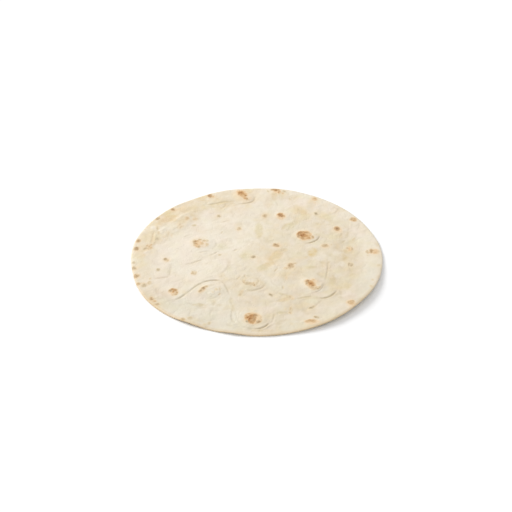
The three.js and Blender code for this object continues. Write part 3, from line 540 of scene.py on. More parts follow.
OLIVES = ovals(
    # Near left
    (-55, -80.3, 11, 5.4, 0, 0.7), (-15, -60, 4.5, 13, -18, 0.65), (-24.5, -74, 4, 12, 0, 0.35),
    (-22.4, -85, 3.6, 12, 0, 0.25), (-41, -77, 5, 8, 0, 0.4), (-36, -81, 6, 4, 0, 0.5),
    (-13, -3, 6, 12, 0, 0.55), (-28, -15, 4, 17, 0, 0.35),
    # Near right
    (4, -21, 14, 6, 55, 0.75), (49, -3.5, 5, 5, 0, 0.7), (53, -20, 10, 5, 0, 0.75),
    (41, -28, 10, 5, 0, 0.65), (52, -10, 8, 5, 0, 0.35), (65, -12, 7, 5, 0, 0.6),
    (69.4, -12.4, 4, 5, 0, 0.5), (86.6, -5, 5, 6, 0, 0.4), (28, -38, 6, 14, 0, 0.4),
    (73, -41.5, 6, 14, -8, 0.9), (83.5, -51.5, 12, 10, 30, 0.7), (79.5, -64, 9, 9, 0, 0.35),
    (92, -32, 4.5, 17, -5, 0.55), (31.5, -68, 6, 6, 0, 0.9), (26.5, -64.8, 13, 3, -25, 0.8),
    (44.5, -69, 14, 3.4, 8, 0.5), (25, -72.4, 15, 4, 20, 0.75), (31.4, -88, 4.5, 12, 0, 0.8),
    (26, -92, 16, 4, 0, 0.5), (20, -108, 7, 15, 0, 0.35), (50, -90, 14, 12, 30, 0.4),
    # Far left
    (-96, 62, 13, 9, 40, 0.7), (-95, 65, 16, 8, 55, 0.4), (-34, 15, 9, 12, 0, 0.45),
    # Far right
    (26.5, 8.7, 9, 6, 0, 1.0), (42, 3, 5, 4, 0, 0.5), (78, 11.5, 5, 7, 15, 0.6),
    (87.5, 23, 5, 5, 0, 0.6), (87.5, 0, 5, 16, -8, 0.45), (85.5, 34, 3.4, 11, -8, 0.5),
    (91.6, 35.5, 3.6, 11, -18, 0.5), (72, 0.5, 6, 6, 0, 0.45), (25.5, 107, 4, 8, 0, 0.5),
    (97, 28, 5, 11, -30, 0.2), (2, 42, 8, 28, 0, 0.35), (32, 50.5, 9, 14, -45, 0.6),
    (38.5, 57, 7, 9, -40, 0.4), (36, 103, 7, 9, 0, 0.3), (11, 103, 6, 7, 0, 0.4),
)
ROSIES = ovals(
    # Near left
    (-86, -42, 44, 22, 0, 0.7), (-92, -60, 24, 16, -20, 0.9), (-57, -67, 22, 14, 0, 0.7),
    (-28, -10, 16, 18, 0, 0.5), (-12, -70, 22, 12, 0, 0.5),
    # Near right
    (8, -88, 16, 13, 0, 0.9), (88, -66, 15, 11, 0, 1.0), (80, -83, 16, 12, 40, 0.5),
    (61, -42, 12, 9, 0, 0.9), (71, -16, 12, 24, 0, 0.5), (58, -64, 16, 7, 0, 0.8),
    (36, -68, 8, 8, 0, 0.8),
    # Far left
    (-48, 74, 18, 18, 0, 0.8), (-20, 76, 22, 26, 0, 0.7), (-59, 42, 14, 36, 0, 0.6),
    (-30, 54, 14, 18, 0, 0.5), (-71, 10, 16, 52, 0, 0.6), (-94, 0, 16, 56, 0, 0.6),
    (-79, 77, 14, 8, 45, 0.35),
    # Far right
    (48, 98, 14, 18, 0, 1.0), (62, 91, 8, 15, 0, 0.7), (34, 95, 11, 24, 0, 0.6), (10, 97, 7, 22, 0, 0.5),
    (103, 48, 16, 24, 20, 0.7), (61, 44, 12, 12, 0, 0.5),
)
GREENS = ovals(
    # Near left
    (-27, -25, 7, 12, 0, 0.5), (-10, -52, 16, 11, 0, 0.6), (-88, -79, 18, 10, -40, 0.6),
    # Near right
    (20, -3, 9, 14, 0, 0.6), (5, -21, 12, 9, 0, 0.8), (84, -46, 12, 20, 0, 0.6),
    (51, -75, 13, 8, 0, 0.8), (80, -27, 12, 10, 0, 0.6), (50, -25, 16, 24, 0, 0.4),
    # Far left
    (-92, 76, 14, 11, 0, 0.9), (-10, 1, 14, 15, 0, 1.0), (-35, 14, 13, 12, 0, 0.6),
    (-108, 32, 17, 24, 0, 0.6), (-46, 95, 32, 9, 10, 0.5),
    # Far right
    (55, 4, 14, 15, 0, 0.3), (2, 46, 8, 24, 0, 1.0), (33, 50, 11, 13, 0, 0.6), (48, 68, 14, 11, 0, 1.0),
    (34, 80, 13, 9, 0, 0.8), (50, 107, 17, 8, -20, 0.9), (76, 68, 13, 10, 0, 0.8),
    (14, 82, 7, 12, 0, 0.5), (78, 32, 12, 16, 0, 0.6), (97, 22, 14, 14, 0, 0.6), (63, 22, 18, 9, 0, 0.6),
    (40, 1, 14, 11, 0, 0.6), (20, 34, 26, 30, 0, 0.35),
)
PATCHES = {
    "tan": TANS,
    "pale": PALES,
    "grey": GREYS,
    "dusk": DUSKS,
    "pink": PINKS,
    "rosy": ROSIES,
    "green": GREENS,
}
WANDERING_PATCHES = {"gold": GOLDS, "olive": OLIVES}  # whose edges wander as those of toasted spots do

# Noise in the dough: size of its features, detail, roughness, and how far it is drawn out along the stretch
Noise = namedtuple("Noise", "size detail roughness stretch")
BROAD = Noise(34, 3, 0.55, 1)
MOTTLE = Noise(14, 3, 0.5, 1.2)
STREAK = Noise(6, 2, 0.5, 1.3)
TINT = Noise(13, 2, 0.5, 1)
BLUSH = Noise(15, 3, 0.6, 1)
GRAIN = Noise(1.6, 4, 0.6, 1)
UNEVENNESS = Noise(4, 3, 0.55, 1.2)
VEINS = Noise(11, 2, 0.5, 1.2)
PITS = Noise(1.1, 3, 0.6, 1)

# Values that vary with a noise: from one value of the noise to another, the least and the most
Spread = namedtuple("Spread", "noise low high least most")
RAGGED = Spread(Noise(4.5, 3, 0.55, 1), 0.35, 0.65, 0.5, 1.0)
BLOTCHES = Spread(Noise(2.4, 2, 0.5, 1), 0.3, 0.7, 0.78, 1.12)
SPECKLES = Spread(Noise(1.2, 2, 0.6, 1), 0.3, 0.7, 0.88, 1.12)
ROUGHNESS = Spread(MOTTLE, 0.3, 0.7, 0.68, 0.86)
SPECULAR = 0.3

# Colours are given as they show, in red, green and blue from 0 to 255
CREAM = (234, 221, 198)
ROSY = (240, 222, 207)
GREEN = (231, 225, 186)
DULL_RING = (243, 229, 203)
WARM_RING = (245, 224, 194)

# Colours that follow a mark on the mesh, and how strong they are
Mark = namedtuple("Mark", "name strength colour")
PLAIN_MARKS = [
    Mark("tan", 1.0, (222, 206, 178)),
    Mark("pink", 0.8, (234, 207, 165)),
    Mark("pale", 1.0, (246, 238, 223)),
    Mark("grey", 1.0, (229, 221, 202)),
    Mark("dusk", 1.0, (206, 192, 166)),
]
RAGGED_MARKS = [Mark("gold", 1.0, (221, 193, 138)), Mark("olive", 1.0, (208, 191, 152))]
TINT_MARKS = [Mark("rosy", 0.34, ROSY), Mark("green", 0.26, GREEN)]
# Painted shade: the crease colour darkens the dough in creases and wrinkles, where light is blocked
PAINTED_CREASE_SHADE = Mark("crease", 0.5, (172, 149, 104))
# Painted shade: a warm brown on the rim's edge, only on the near side, as of the shaded gap under it
EDGE_SHADE_MARK = Mark("edge", 0.7, (226, 190, 132))
HALO_STRENGTH = 0.32

# Flecks of colour where a noise passes a value: from which value, where they are full, and how strong
Fleck = namedtuple("Fleck", "noise start full strength colour")
LIGHTER_CREAM = Fleck(BROAD, 0.35, 0.65, 1.0, (238, 227, 206))
MOTTLES = [
    Fleck(MOTTLE, 0.48, 0.72, 0.19, (221, 206, 176)),
    Fleck(MOTTLE, 0.48, 0.28, 0.15, (244, 236, 219)),
    Fleck(STREAK, 0.5, 0.72, 0.15, (222, 208, 181)),
    Fleck(STREAK, 0.5, 0.3, 0.15, (243, 235, 219)),
]
TINTS = [Fleck(TINT, 0.5, 0.7, 0.4, (233, 213, 173)), Fleck(TINT, 0.5, 0.3, 0.36, (236, 227, 212))]
BLUSHES = [Fleck(BLUSH, 0.5, 0.68, 0.18, ROSY), Fleck(BLUSH, 0.5, 0.32, 0.15, GREEN)]
FLOUR = Fleck(GRAIN, 0.55, 0.8, 0.1, (244, 238, 224))

# Tints are weaker on plain dough, which is pale or grey
GREY_PLAINNESS = 0.5  # how plain grey dough is, against pale dough
PLAINEST = 0.5  # how pale dough is where tints are weakest
PLAIN_TINT = 0.3  # how strong they are there

# Browns of toasted spots, from the faintest to the darkest: warm ones, and duller ones
WARM_BROWNS = [
    (0.0, (242, 218, 184)),
    (0.2, (237, 207, 168)),
    (0.4, (221, 184, 137)),
    (0.6, (206, 162, 111)),
    (0.8, (189, 141, 91)),
    (1.0, (162, 113, 70)),
]
DULL_BROWNS = [
    (0.0, (238, 220, 188)),
    (0.25, (223, 207, 176)),
    (0.5, (205, 188, 157)),
    (0.75, (179, 160, 130)),
    (1.0, (143, 124, 97)),
]
FULL_BROWN = 0.28  # how brown a spot is where no cream shows through

# Sockets of a Mix node that hold colours: those for numbers have the same names
MIX_FACTOR = 0
MIX_FIRST = 6
MIX_SECOND = 7
MIX_RESULT = 2

# Relief that is too fine for the mesh: depths in millimetres. Veins run where their noise has one value
UNEVEN_DEPTH = 0.29
VEIN_VALUE = 0.5
VEIN_WIDTH = 0.03  # how far the noise is from that value at a vein's edge
VEIN_DEPTH = 0.09
PIT_DEPTH = 0.05

# The floor
FLOOR_SIDE = 12  # in metres
FLOOR_GREY = 0.95
FLOOR_ROUGHNESS = 0.9
FLOOR_SPECULAR = 0.1

# Light: the sky's strength, the key's, its softness and where it comes from, and how bright white shows
SKY_STRENGTH = 0.78
KEY_STRENGTH = 2.1
KEY_SOFTNESS = 32
KEY_ELEVATION = 31
KEY_AZIMUTH = 145
BRIGHTNESS = 1.1

# Where the photograph was taken from, and the lens that fits it
LENS = 85
SENSOR = 36
CAMERA_ELEVATION = 35.77
CAMERA_DISTANCE = 1206.3
CAMERA_TARGET = (-0.84, 0.49, 0.67)


def smooth(share):
    """Rises from 0 to 1 with no corner, as share goes from 0 to 1."""
    share = np.clip(share, 0, 1)
    return share * share * (3 - 2 * share)


def hump(angle, middle, half_width):
    """A hump of height 1 at an angle, which falls to 0 at half its width on either side."""
    away = (angle - math.radians(middle) + math.pi) % (2 * math.pi) - math.pi
    share = np.minimum(np.abs(away) / math.radians(half_width), 1)
    return np.cos(share * math.pi / 2) ** 2


def outline(angle):
    """Distance from the middle to the rim at an angle."""
    reach = RADIUS + BULGE_SIZE * hump(angle, BULGE_ANGLE, BULGE_HALF_WIDTH)
    for wave in OUTLINE_WAVES:
        reach += wave.size * np.cos(wave.count * (angle - math.radians(wave.crest)))
    return reach


def lifted(radius, angle):
    """Height of the underside above the table."""
    height = np.zeros_like(radius)
    for lift in RIM_LIFTS:
        rise = smooth(1 - (RADIUS - radius) / lift.reach)
        height += lift.height * hump(angle, lift.angle, lift.half_width) * rise
    return height


def away_from(oval, x, y):
    """How far points are from the middle of an oval, as a share of the way to its edge."""
    cos = math.cos(math.radians(oval.turn))
    sin = math.sin(math.radians(oval.turn))
    along = (x - oval.x) * cos + (y - oval.y) * sin
    across = (y - oval.y) * cos - (x - oval.x) * sin
    return np.hypot(2 * along / oval.length, 2 * across / oval.width)


def patches(group, x, y, edge):
    """The strongest of some ovals at each point. Edge is the soft part, as a share of the half-width."""
    value = np.zeros_like(x)
    for oval in group:
        value = np.maximum(value, oval.size * smooth((1 + edge / 2 - away_from(oval, x, y)) / edge))
    return value


def blistered(x, y):
    """Height that blisters add to the top."""
    height = np.zeros_like(x)
    for blister in BLISTERS:
        height = np.maximum(height, blister.size * smooth((1 - away_from(blister, x, y)) / BLISTER_SLOPE))
    return height


def laid_flat(x, y):
    """Where on a flat sheet the camera would see each point: what is raised seems further off."""
    raised = lifted(np.hypot(x, y), np.arctan2(y, x)) + blistered(x, y)
    return x, y + raised / math.tan(math.radians(CAMERA_ELEVATION))


def ripple(kind, x, y, random):
    """Random unevenness of a kind, as a sum of waves."""
    lengths = kind.shortest * (kind.longest / kind.shortest) ** random.random(WAVES_IN_RIPPLE)
    directions = np.radians(STRETCH_ANGLE + 90 + kind.spread * random.standard_normal(WAVES_IN_RIPPLE))
    starts = 2 * math.pi * random.random(WAVES_IN_RIPPLE)
    value = np.zeros_like(x)
    for length, direction, start in zip(lengths, directions, starts):
        value += np.sin(2 * math.pi * (x * math.cos(direction) + y * math.sin(direction)) / length + start)
    return kind.height * value * math.sqrt(2 / WAVES_IN_RIPPLE)


def toasted(toasts, x, y):
    """How brown toasted spots are, how warm their brown is, and how near to their outside each point is."""
    brown = np.zeros_like(x)
    warm = np.zeros_like(x)
    halo = np.zeros_like(x)
    for toast in toasts:
        inside = (1 - away_from(toast, x, y)) * math.sqrt(toast.length * toast.width) / 2
        edge = min(TOAST_EDGE, FINEST_EDGE * math.sqrt(toast.length * toast.width))
        value = toast.size * smooth(0.5 + inside / edge)
        warm = np.where(value > brown, toast.warm, warm)
        brown = np.maximum(brown, value)
        ring = np.exp(-(((inside + HALO_OUT) / HALO_WIDTH) ** 2))
        halo = np.maximum(halo, smooth((toast.size - HALO_FROM) / HALO_FROM) * ring)
    return brown, warm, halo


def edge_shade(radius, share):
    """How strong the painted shade on the edge of the rim is: most at half its height, and a little on the
    top beside it.
    """
    on_top = EDGE_ON_TOP * smooth((radius - RIM_START + EDGE_REACH) / EDGE_REACH)
    return np.where(share < 1, np.maximum(4 * share * (1 - share), EDGE_ON_TOP * share), on_top)


def curve_through(points):
    """Points close together on a smooth curve, a Catmull-Rom spline, through some points."""
    points = np.array(points, float)
    padded = np.vstack([2 * points[0] - points[1], points, 2 * points[-1] - points[-2]])
    found = []
    for before, start, end, after in zip(padded, padded[1:], padded[2:], padded[3:]):
        steps = math.ceil(np.linalg.norm(end - start) / CREASE_STEP)
        t = np.linspace(0, 1, steps, endpoint=False)[:, None]
        square = 2 * before - 5 * start + 4 * end - after
        cube = 3 * start - before - 3 * end + after
        found.append(start + ((end - before) * t + square * t**2 + cube * t**3) / 2)
    return np.vstack(found + [points[-1:]])


def strewn_wrinkles(random):
    """Short faint wrinkles, most of which run along the stretch of the dough."""
    wrinkles = []
    for _ in range(WRINKLES):
        reach = RADIUS * math.sqrt(random.random())
        angle = 2 * math.pi * random.random()
        place = np.array([reach * math.cos(angle), reach * math.sin(angle)])
        heading = math.radians(STRETCH_ANGLE + WRINKLE_STRAY * random.standard_normal())
        bend = math.radians(random.uniform(-WRINKLE_BEND, WRINKLE_BEND))
        step = random.uniform(*WRINKLE_LENGTHS) / WRINKLE_STEPS
        points = [place]
        for share in np.linspace(-0.5, 0.5, WRINKLE_STEPS):
            turned = heading + bend * share
            points.append(points[-1] + step * np.array([math.cos(turned), math.sin(turned)]))
        wrinkles.append(Crease(random.uniform(*WRINKLE_DEPTHS), random.uniform(*WRINKLE_WIDTHS), points))
    return wrinkles


def creased(creases, x, y):
    """Height that creases take from the face, and how deep in a crease each point is, from 0 to 1, which
    sets the painted shade there.
    """
    height = np.zeros_like(x)
    depth = np.zeros_like(x)
    for crease in creases:
        curve = curve_through(crease.points)
        near, away, nearest = nearest_on(curve, x, y, CREASE_REACH * crease.width)
        away = away / crease.width
        along = nearest / (len(curve) - 1)
        fade = smooth(np.minimum(along, 1 - along) / CREASE_FADE)
        groove = fade * np.exp(-(away**2))
        lip = fade * np.exp(-((away - LIP_REACH) ** 2))
        shade = fade * np.exp(-((away / SHADE_REACH) ** 2))
        if crease.depth > 0:
            groove -= LIP_HEIGHT * lip
        height[near] -= crease.depth * groove
        depth[near] = np.maximum(depth[near], shade * min(crease.depth / DEEPEST_CREASE, 1))
    return height, depth


def nearest_on(curve, x, y, margin):
    """Of the points near a curve: which they are, how far off, and which of its points is nearest."""
    low = curve.min(0) - margin
    high = curve.max(0) + margin
    near = np.flatnonzero((x > low[0]) & (x < high[0]) & (y > low[1]) & (y < high[1]))
    away = np.hypot(x[near, None] - curve[:, 0], y[near, None] - curve[:, 1])
    nearest = away.argmin(1)
    return near, away[np.arange(len(near)), nearest], nearest


def dough_face(x, y, toast, random):
    """Height that blisters, creases and the unevenness of the dough add to the top, and the strength of the
    painted shade in creases and wrinkles.
    """
    height = blistered(x, y)
    x, y = laid_flat(x, y)
    for rumple in RUMPLES:
        direction = math.radians(rumple.direction)
        along = x * math.cos(direction) + y * math.sin(direction)
        height += rumple.height * np.sin(2 * math.pi * along / rumple.wavelength)
    calm = 1 - PALE_CALM * patches(PALES, x, y, PATCH_EDGE)
    for kind in RIPPLES:
        height += calm * ripple(kind, x, y, random)
    height += patches(RUGGED_PATCHES, x, y, RUGGED_EDGE) * ripple(RUGGED_RIPPLE, x, y, random)
    groove, depth = creased(CREASES, x, y)
    wrinkle, faint = creased(strewn_wrinkles(random), x, y)
    return height + groove + calm * wrinkle + TOAST_RISE * toast, np.maximum(depth, calm * faint)


def ring_start(ring):
    """Number of points in the rings inside a ring. Ring 0 is the middle."""
    return 1 + SECTORS * ring * (ring - 1) // 2 if ring else 0


def disc_points(rings, spacing):
    """Radius and angle of the points of a disc of rings."""
    radius = [np.zeros(1)]
    angle = [np.zeros(1)]
    for ring in range(1, rings + 1):
        count = SECTORS * ring
        radius.append(np.full(count, ring * spacing))
        angle.append(2 * math.pi * np.arange(count) / count)
    return np.concatenate(radius), np.concatenate(angle)


def disc_triangles(rings):
    """Triangles of a disc of rings, counter-clockwise."""
    triangles = []
    for ring in range(1, rings + 1):
        outer = ring_start(ring)
        inner = ring_start(ring - 1)
        inner_count = max(SECTORS * (ring - 1), 1)
        for sector in range(SECTORS):
            step = np.arange(ring)
            first = outer + sector * ring + step
            second = outer + (sector * ring + step + 1) % (SECTORS * ring)
            facing = inner + (sector * (ring - 1) + step) % inner_count
            triangles.append(np.stack([first, second, facing], 1))
            triangles.append(np.stack([facing[:-1], second[:-1], facing[1:]], 1))
    return np.vstack(triangles)


def band_triangles(upper, lower):
    """Triangles between two closed rings of as many points."""
    upper_next = np.roll(upper, -1)
    lower_next = np.roll(lower, -1)
    return np.vstack([np.stack([upper, lower, lower_next], 1), np.stack([upper, lower_next, upper_next], 1)])


def halving_triangles(outer, inner):
    """Triangles of the underside between a closed ring and one of half as many points inside it."""
    even = outer[0::2]
    odd = outer[1::2]
    even_next = np.roll(even, -1)
    inner_next = np.roll(inner, -1)
    return np.vstack([
        np.stack([inner, odd, even], 1),
        np.stack([inner, inner_next, odd], 1),
        np.stack([inner_next, even_next, odd], 1),
    ])


def sheet_layout():
    """Points of a flat sheet and its triangles.

    Gives the radius, the angle and the height of each point, the height as a share of the thickness,
    then the triangles of the top and the edge, and those of the underside.
    """
    top_radius, top_angle = disc_points(TOP_RINGS, RIM_START / TOP_RINGS)
    rim_count = SECTORS * TOP_RINGS
    rim_angle = top_angle[-rim_count:]
    under_radius, under_angle = disc_points(UNDER_RINGS, RIM_START / (UNDER_RINGS + 1))
    radius = [top_radius]
    angle = [top_angle]
    share = [np.ones_like(top_radius)]
    faces = [disc_triangles(TOP_RINGS)]
    edge = np.arange(len(top_radius) - rim_count, len(top_radius))
    for step in range(1, RIM_STEPS + 1):
        turn = math.pi * (1 / 2 - step / RIM_STEPS)
        radius.append(np.full(rim_count, RIM_START + RIM_ROUNDING * math.cos(turn)))
        angle.append(rim_angle)
        share.append(np.full(rim_count, (1 + math.sin(turn)) / 2))
        faces.append(band_triangles(edge, edge[-1] + 1 + np.arange(rim_count)))
        edge = edge[-1] + 1 + np.arange(rim_count)
    radius.append(under_radius)
    angle.append(under_angle)
    share.append(np.zeros_like(under_radius))
    under = edge[-1] + 1 + disc_triangles(UNDER_RINGS)[:, ::-1]
    under_rim = edge[-1] + 1 + np.arange(ring_start(UNDER_RINGS), ring_start(UNDER_RINGS + 1))
    stitches = halving_triangles(edge, under_rim)
    flat = np.concatenate(radius), np.concatenate(angle), np.concatenate(share)
    return *flat, np.vstack(faces), np.vstack([under, stitches])


def strewn_toasts(random):
    """Toasted spots of the underside."""
    toasts = []
    shortest, longest = UNDER_TOAST_LENGTHS
    for _ in range(UNDER_TOASTS):
        reach = RADIUS * math.sqrt(random.random())
        angle = 2 * math.pi * random.random()
        length = shortest * (longest / shortest) ** (random.random() ** UNDER_TOAST_SKEW)
        width = length * random.uniform(*UNDER_TOAST_WIDTHS)
        turn = random.uniform(0, 180)
        brown = random.uniform(*UNDER_TOAST_BROWNS)
        x = reach * math.cos(angle)
        y = reach * math.sin(angle)
        toasts.append(Toast(x, y, length, width, turn, brown, brown))
    return toasts


def halve_near_details(mesh):
    """Halves the triangles of the top that lie near a crease or on a toasted spot."""
    work = bmesh.new()
    work.from_mesh(mesh)
    for level, band in enumerate(CREASE_BANDS):
        places = np.array([point.co for point in work.verts])
        flat_x, flat_y, share = places.T
        x, y = laid_flat(flat_x, flat_y)
        wanted = np.zeros(len(places), bool)
        for crease in CREASES:
            near, away, _ = nearest_on(curve_through(crease.points), x, y, band)
            wanted[near] |= away < band
        if level == 0:
            for toast in TOASTS:
                if toast.size > FINE_TOAST:
                    wanted |= away_from(toast, x, y) < TOAST_MARGIN
        wanted &= share == 1
        work.edges.ensure_lookup_table()
        edges = [edge for edge in work.edges if any(wanted[point.index] for point in edge.verts)]
        bmesh.ops.subdivide_edges(work, edges=edges, cuts=1, use_grid_fill=True)
        bmesh.ops.triangulate(work, faces=work.faces)
        work.verts.index_update()
    work.to_mesh(mesh)
    work.free()


def add_bake_map(mesh, radius, angle, share):
    """Gives the mesh a map for baking: the top and the edge as one disc, the underside as a smaller one."""
    corners = np.empty(len(mesh.loops), np.int32)
    mesh.loops.foreach_get("vertex_index", corners)
    under = np.repeat((share[corners].reshape(-1, 3) == 0).all(1), 3)
    edge_turn = np.arccos(np.clip(2 * share - 1, -1, 1))
    unrolled = np.where(share < 1, RIM_START + RIM_ROUNDING * edge_turn, radius)
    top_reach = TOP_MAP[1] * unrolled[corners] / unrolled.max()
    under_reach = UNDER_MAP[1] * radius[corners] / RADIUS
    middle = np.where(under, UNDER_MAP[0], TOP_MAP[0])
    reach = np.where(under, under_reach, top_reach)
    places = np.stack([middle + reach * np.cos(angle[corners]), middle + reach * np.sin(angle[corners])], 1)
    mesh.uv_layers.new(name="OFBake").uv.foreach_set("vector", places.astype(np.float32).ravel())


def make_sheet():
    """The tortilla as a mesh object, with the marks of its baking and the painted shade of its creases and
    near edge as attributes of its points.
    """
    random = np.random.default_rng(SEED)
    radius, angle, share, top_faces, under_faces = sheet_layout()
    mesh = bpy.data.meshes.new("tortilla_sheet")
    flat = np.stack([radius * np.cos(angle), radius * np.sin(angle), share], 1)
    mesh.from_pydata(flat, [], np.vstack([top_faces, under_faces]))
    halve_near_details(mesh)
    flat = np.empty(3 * len(mesh.vertices), np.float32)
    mesh.vertices.foreach_get("co", flat)
    flat_x, flat_y, share = flat.reshape(-1, 3).T.astype(float)
    radius = np.hypot(flat_x, flat_y)
    angle = np.arctan2(flat_y, flat_x)
    reach = outline(angle) / RADIUS
    x = flat_x * reach
    y = flat_y * reach
    patch_x, patch_y = laid_flat(x, y)
    warped_x = patch_x + ripple(TOAST_WARP, x, y, random)
    warped_y = patch_y + ripple(TOAST_WARP, x, y, random)
    top_marks = toasted(TOASTS, warped_x, warped_y)
    under_marks = toasted(strewn_toasts(random), warped_x, warped_y)
    brown, warm, halo = np.where(share > 0, top_marks, under_marks)
    thickness = RIM_THICKNESS + (THICKNESS - RIM_THICKNESS) * smooth((RADIUS - radius) / RIM_TAPER)
    face, crease = dough_face(x, y, top_marks[0], random)
    z = lifted(radius, angle) + share * (thickness + face)
    places = np.stack([x - (x.min() + x.max()) / 2, y - (y.min() + y.max()) / 2, z], 1) * MM
    mesh.vertices.foreach_set("co", places.astype(np.float32).ravel())
    marks = {
        "brown": brown,
        "warm": warm,
        "halo": halo,
        # The crease mark sets painted shade in the creases of the top
        "crease": share * crease,
        # Painted warm shade along the edge of the rim, on the near side
        "edge": edge_shade(radius, share) * smooth((EDGE_FROM - y) / EDGE_SPREAD),
    }
    for name, kind in PATCHES.items():
        marks[name] = patches(kind, patch_x, patch_y, PATCH_EDGE)
    for name, kind in WANDERING_PATCHES.items():
        marks[name] = patches(kind, warped_x, warped_y, PATCH_EDGE)
    for name, values in marks.items():
        mesh.attributes.new(name, "FLOAT", "POINT").data.foreach_set("value", values.astype(np.float32))
    add_bake_map(mesh, radius, angle, share)
    mesh.update()
    mesh.shade_smooth()
    sheet = bpy.data.objects.new("tortilla_sheet", mesh)
    bpy.context.scene.collection.objects.link(sheet)
    return sheet


def seen(colour):
    """The colour of a surface that shows as a colour in this light, by the sRGB curve of a screen."""
    screen = np.array(colour) / 255
    light = np.where(screen <= 0.04045, screen / 12.92, ((screen + 0.055) / 1.055) ** 2.4)
    return (*(light / BRIGHTNESS).tolist(), 1.0)


class Shader:
    """Adds nodes to a material."""

    def __init__(self, material):
        self.tree = material.node_tree
        self.bsdf = self.tree.nodes["Principled BSDF"]
        self.place = self.add("ShaderNodeTexCoord").outputs["Object"]
        self.noises = {}

    def add(self, kind, inputs=None, **settings):
        """Adds a node with its settings, and feeds its inputs with sockets or values."""
        node = self.tree.nodes.new(kind)
        for name, value in settings.items():
            setattr(node, name, value)
        for name, value in (inputs or {}).items():
            self.feed(node.inputs[name], value)
        return node

    def feed(self, socket, value):
        """Links a socket to another, or sets its value."""
        if isinstance(value, bpy.types.NodeSocket):
            self.tree.links.new(value, socket)
        else:
            socket.default_value = value

    def mark(self, name):
        """A mark on the mesh's points."""
        return self.add("ShaderNodeAttribute", attribute_name=name).outputs["Fac"]

    def noise(self, kind):
        """A kind of noise, which is made once."""
        if kind not in self.noises:
            place = self.place
            if kind.stretch != 1:
                turn = (0, 0, math.radians(STRETCH_ANGLE))
                drawn_out = {"Vector": place, "Rotation": turn, "Scale": (kind.stretch, 1, 1)}
                place = self.add("ShaderNodeMapping", drawn_out, vector_type="TEXTURE").outputs["Vector"]
            inputs = {"Vector": place, "Detail": kind.detail, "Roughness": kind.roughness}
            inputs["Scale"] = 1 / (kind.size * MM)
            self.noises[kind] = self.add("ShaderNodeTexNoise", inputs).outputs["Fac"]
        return self.noises[kind]

    def calculate(self, operation, first, second=0.0):
        """The result of an operation on two values, or on the first alone."""
        return self.add("ShaderNodeMath", {0: first, 1: second}, operation=operation).outputs[0]

    def times(self, first, second):
        """One value times another."""
        return self.calculate("MULTIPLY", first, second)

    def span(self, value, low, high, to_low=0.0, to_high=1.0):
        """Takes values from low to high to a new range, with soft ends."""
        inputs = {"Value": value, "From Min": low, "From Max": high, "To Min": to_low, "To Max": to_high}
        return self.add("ShaderNodeMapRange", inputs, interpolation_type="SMOOTHSTEP").outputs["Result"]

    def spread(self, spread):
        """A value that varies with a noise."""
        return self.span(self.noise(spread.noise), spread.low, spread.high, spread.least, spread.most)

    def blend(self, factor, first, second):
        """A colour from the first, where the factor is 0, to the second, where it is 1."""
        inputs = {MIX_FACTOR: factor, MIX_FIRST: first, MIX_SECOND: second}
        return self.add("ShaderNodeMix", inputs, data_type="RGBA", blend_type="MIX").outputs[MIX_RESULT]

    def lay_mark(self, colour, mark, share=1.0):
        """A colour with that of a mark over it, of which a share shows."""
        factor = self.times(self.times(self.mark(mark.name), mark.strength), share)
        return self.blend(factor, colour, seen(mark.colour))

    def lay_fleck(self, colour, fleck, share=1.0):
        """A colour with flecks over it, of which a share shows."""
        factor = self.span(self.noise(fleck.noise), fleck.start, fleck.full, 0.0, fleck.strength)
        return self.blend(self.times(factor, share), colour, seen(fleck.colour))

    def ramp(self, value, stops):
        """A colour for each value, from places on the way and their colours."""
        node = self.add("ShaderNodeValToRGB", {"Fac": value})
        elements = node.color_ramp.elements
        while len(elements) < len(stops):
            elements.new(1.0)
        for element, (position, colour) in zip(elements, stops):
            element.position = position
            element.color = seen(colour)
        return node.outputs["Color"]

    def bump(self, height, depth, before=None):
        """A normal from a height of 0 to 1, which stands for a depth in millimetres."""
        inputs = {"Height": height, "Distance": depth * MM, "Strength": 1.0}
        if before is not None:
            inputs["Normal"] = before
        return self.add("ShaderNodeBump", inputs).outputs["Normal"]


def dough_colour(shader):
    """Cream with patches, streaks and tints, a few patches painted light and shade, and painted shade in the
    creases.
    """
    colour = shader.lay_fleck(seen(CREAM), LIGHTER_CREAM)
    for mark in PLAIN_MARKS:
        colour = shader.lay_mark(colour, mark)
    ragged = shader.spread(RAGGED)
    for mark in RAGGED_MARKS:
        colour = shader.lay_mark(colour, mark, ragged)
    for fleck in MOTTLES:
        colour = shader.lay_fleck(colour, fleck)
    grey = shader.times(shader.mark("grey"), GREY_PLAINNESS)
    plain = shader.calculate("MAXIMUM", shader.mark("pale"), grey)
    lively = shader.span(plain, 0.0, PLAINEST, 1.0, PLAIN_TINT)
    for fleck in TINTS:
        colour = shader.lay_fleck(colour, fleck, lively)
    for fleck in BLUSHES:
        colour = shader.lay_fleck(colour, fleck)
    for mark in TINT_MARKS:
        colour = shader.lay_mark(colour, mark)
    colour = shader.lay_fleck(colour, FLOUR)
    # Painted shade in the creases
    return shader.lay_mark(colour, PAINTED_CREASE_SHADE)


def toasted_colour(shader, dough):
    """Dough with toasted spots, which have pale rings: large ones brown to orange, small ones duller; and
    painted shade along the near edge.
    """
    warm = shader.mark("warm")
    ring = shader.blend(warm, seen(DULL_RING), seen(WARM_RING))
    dough = shader.blend(shader.times(shader.mark("halo"), HALO_STRENGTH), dough, ring)
    blotched = shader.times(shader.mark("brown"), shader.spread(BLOTCHES))
    browning = shader.times(blotched, shader.spread(SPECKLES))
    browns = shader.blend(warm, shader.ramp(browning, DULL_BROWNS), shader.ramp(browning, WARM_BROWNS))
    colour = shader.blend(shader.span(browning, 0.0, FULL_BROWN), dough, browns)
    return shader.lay_mark(colour, EDGE_SHADE_MARK)


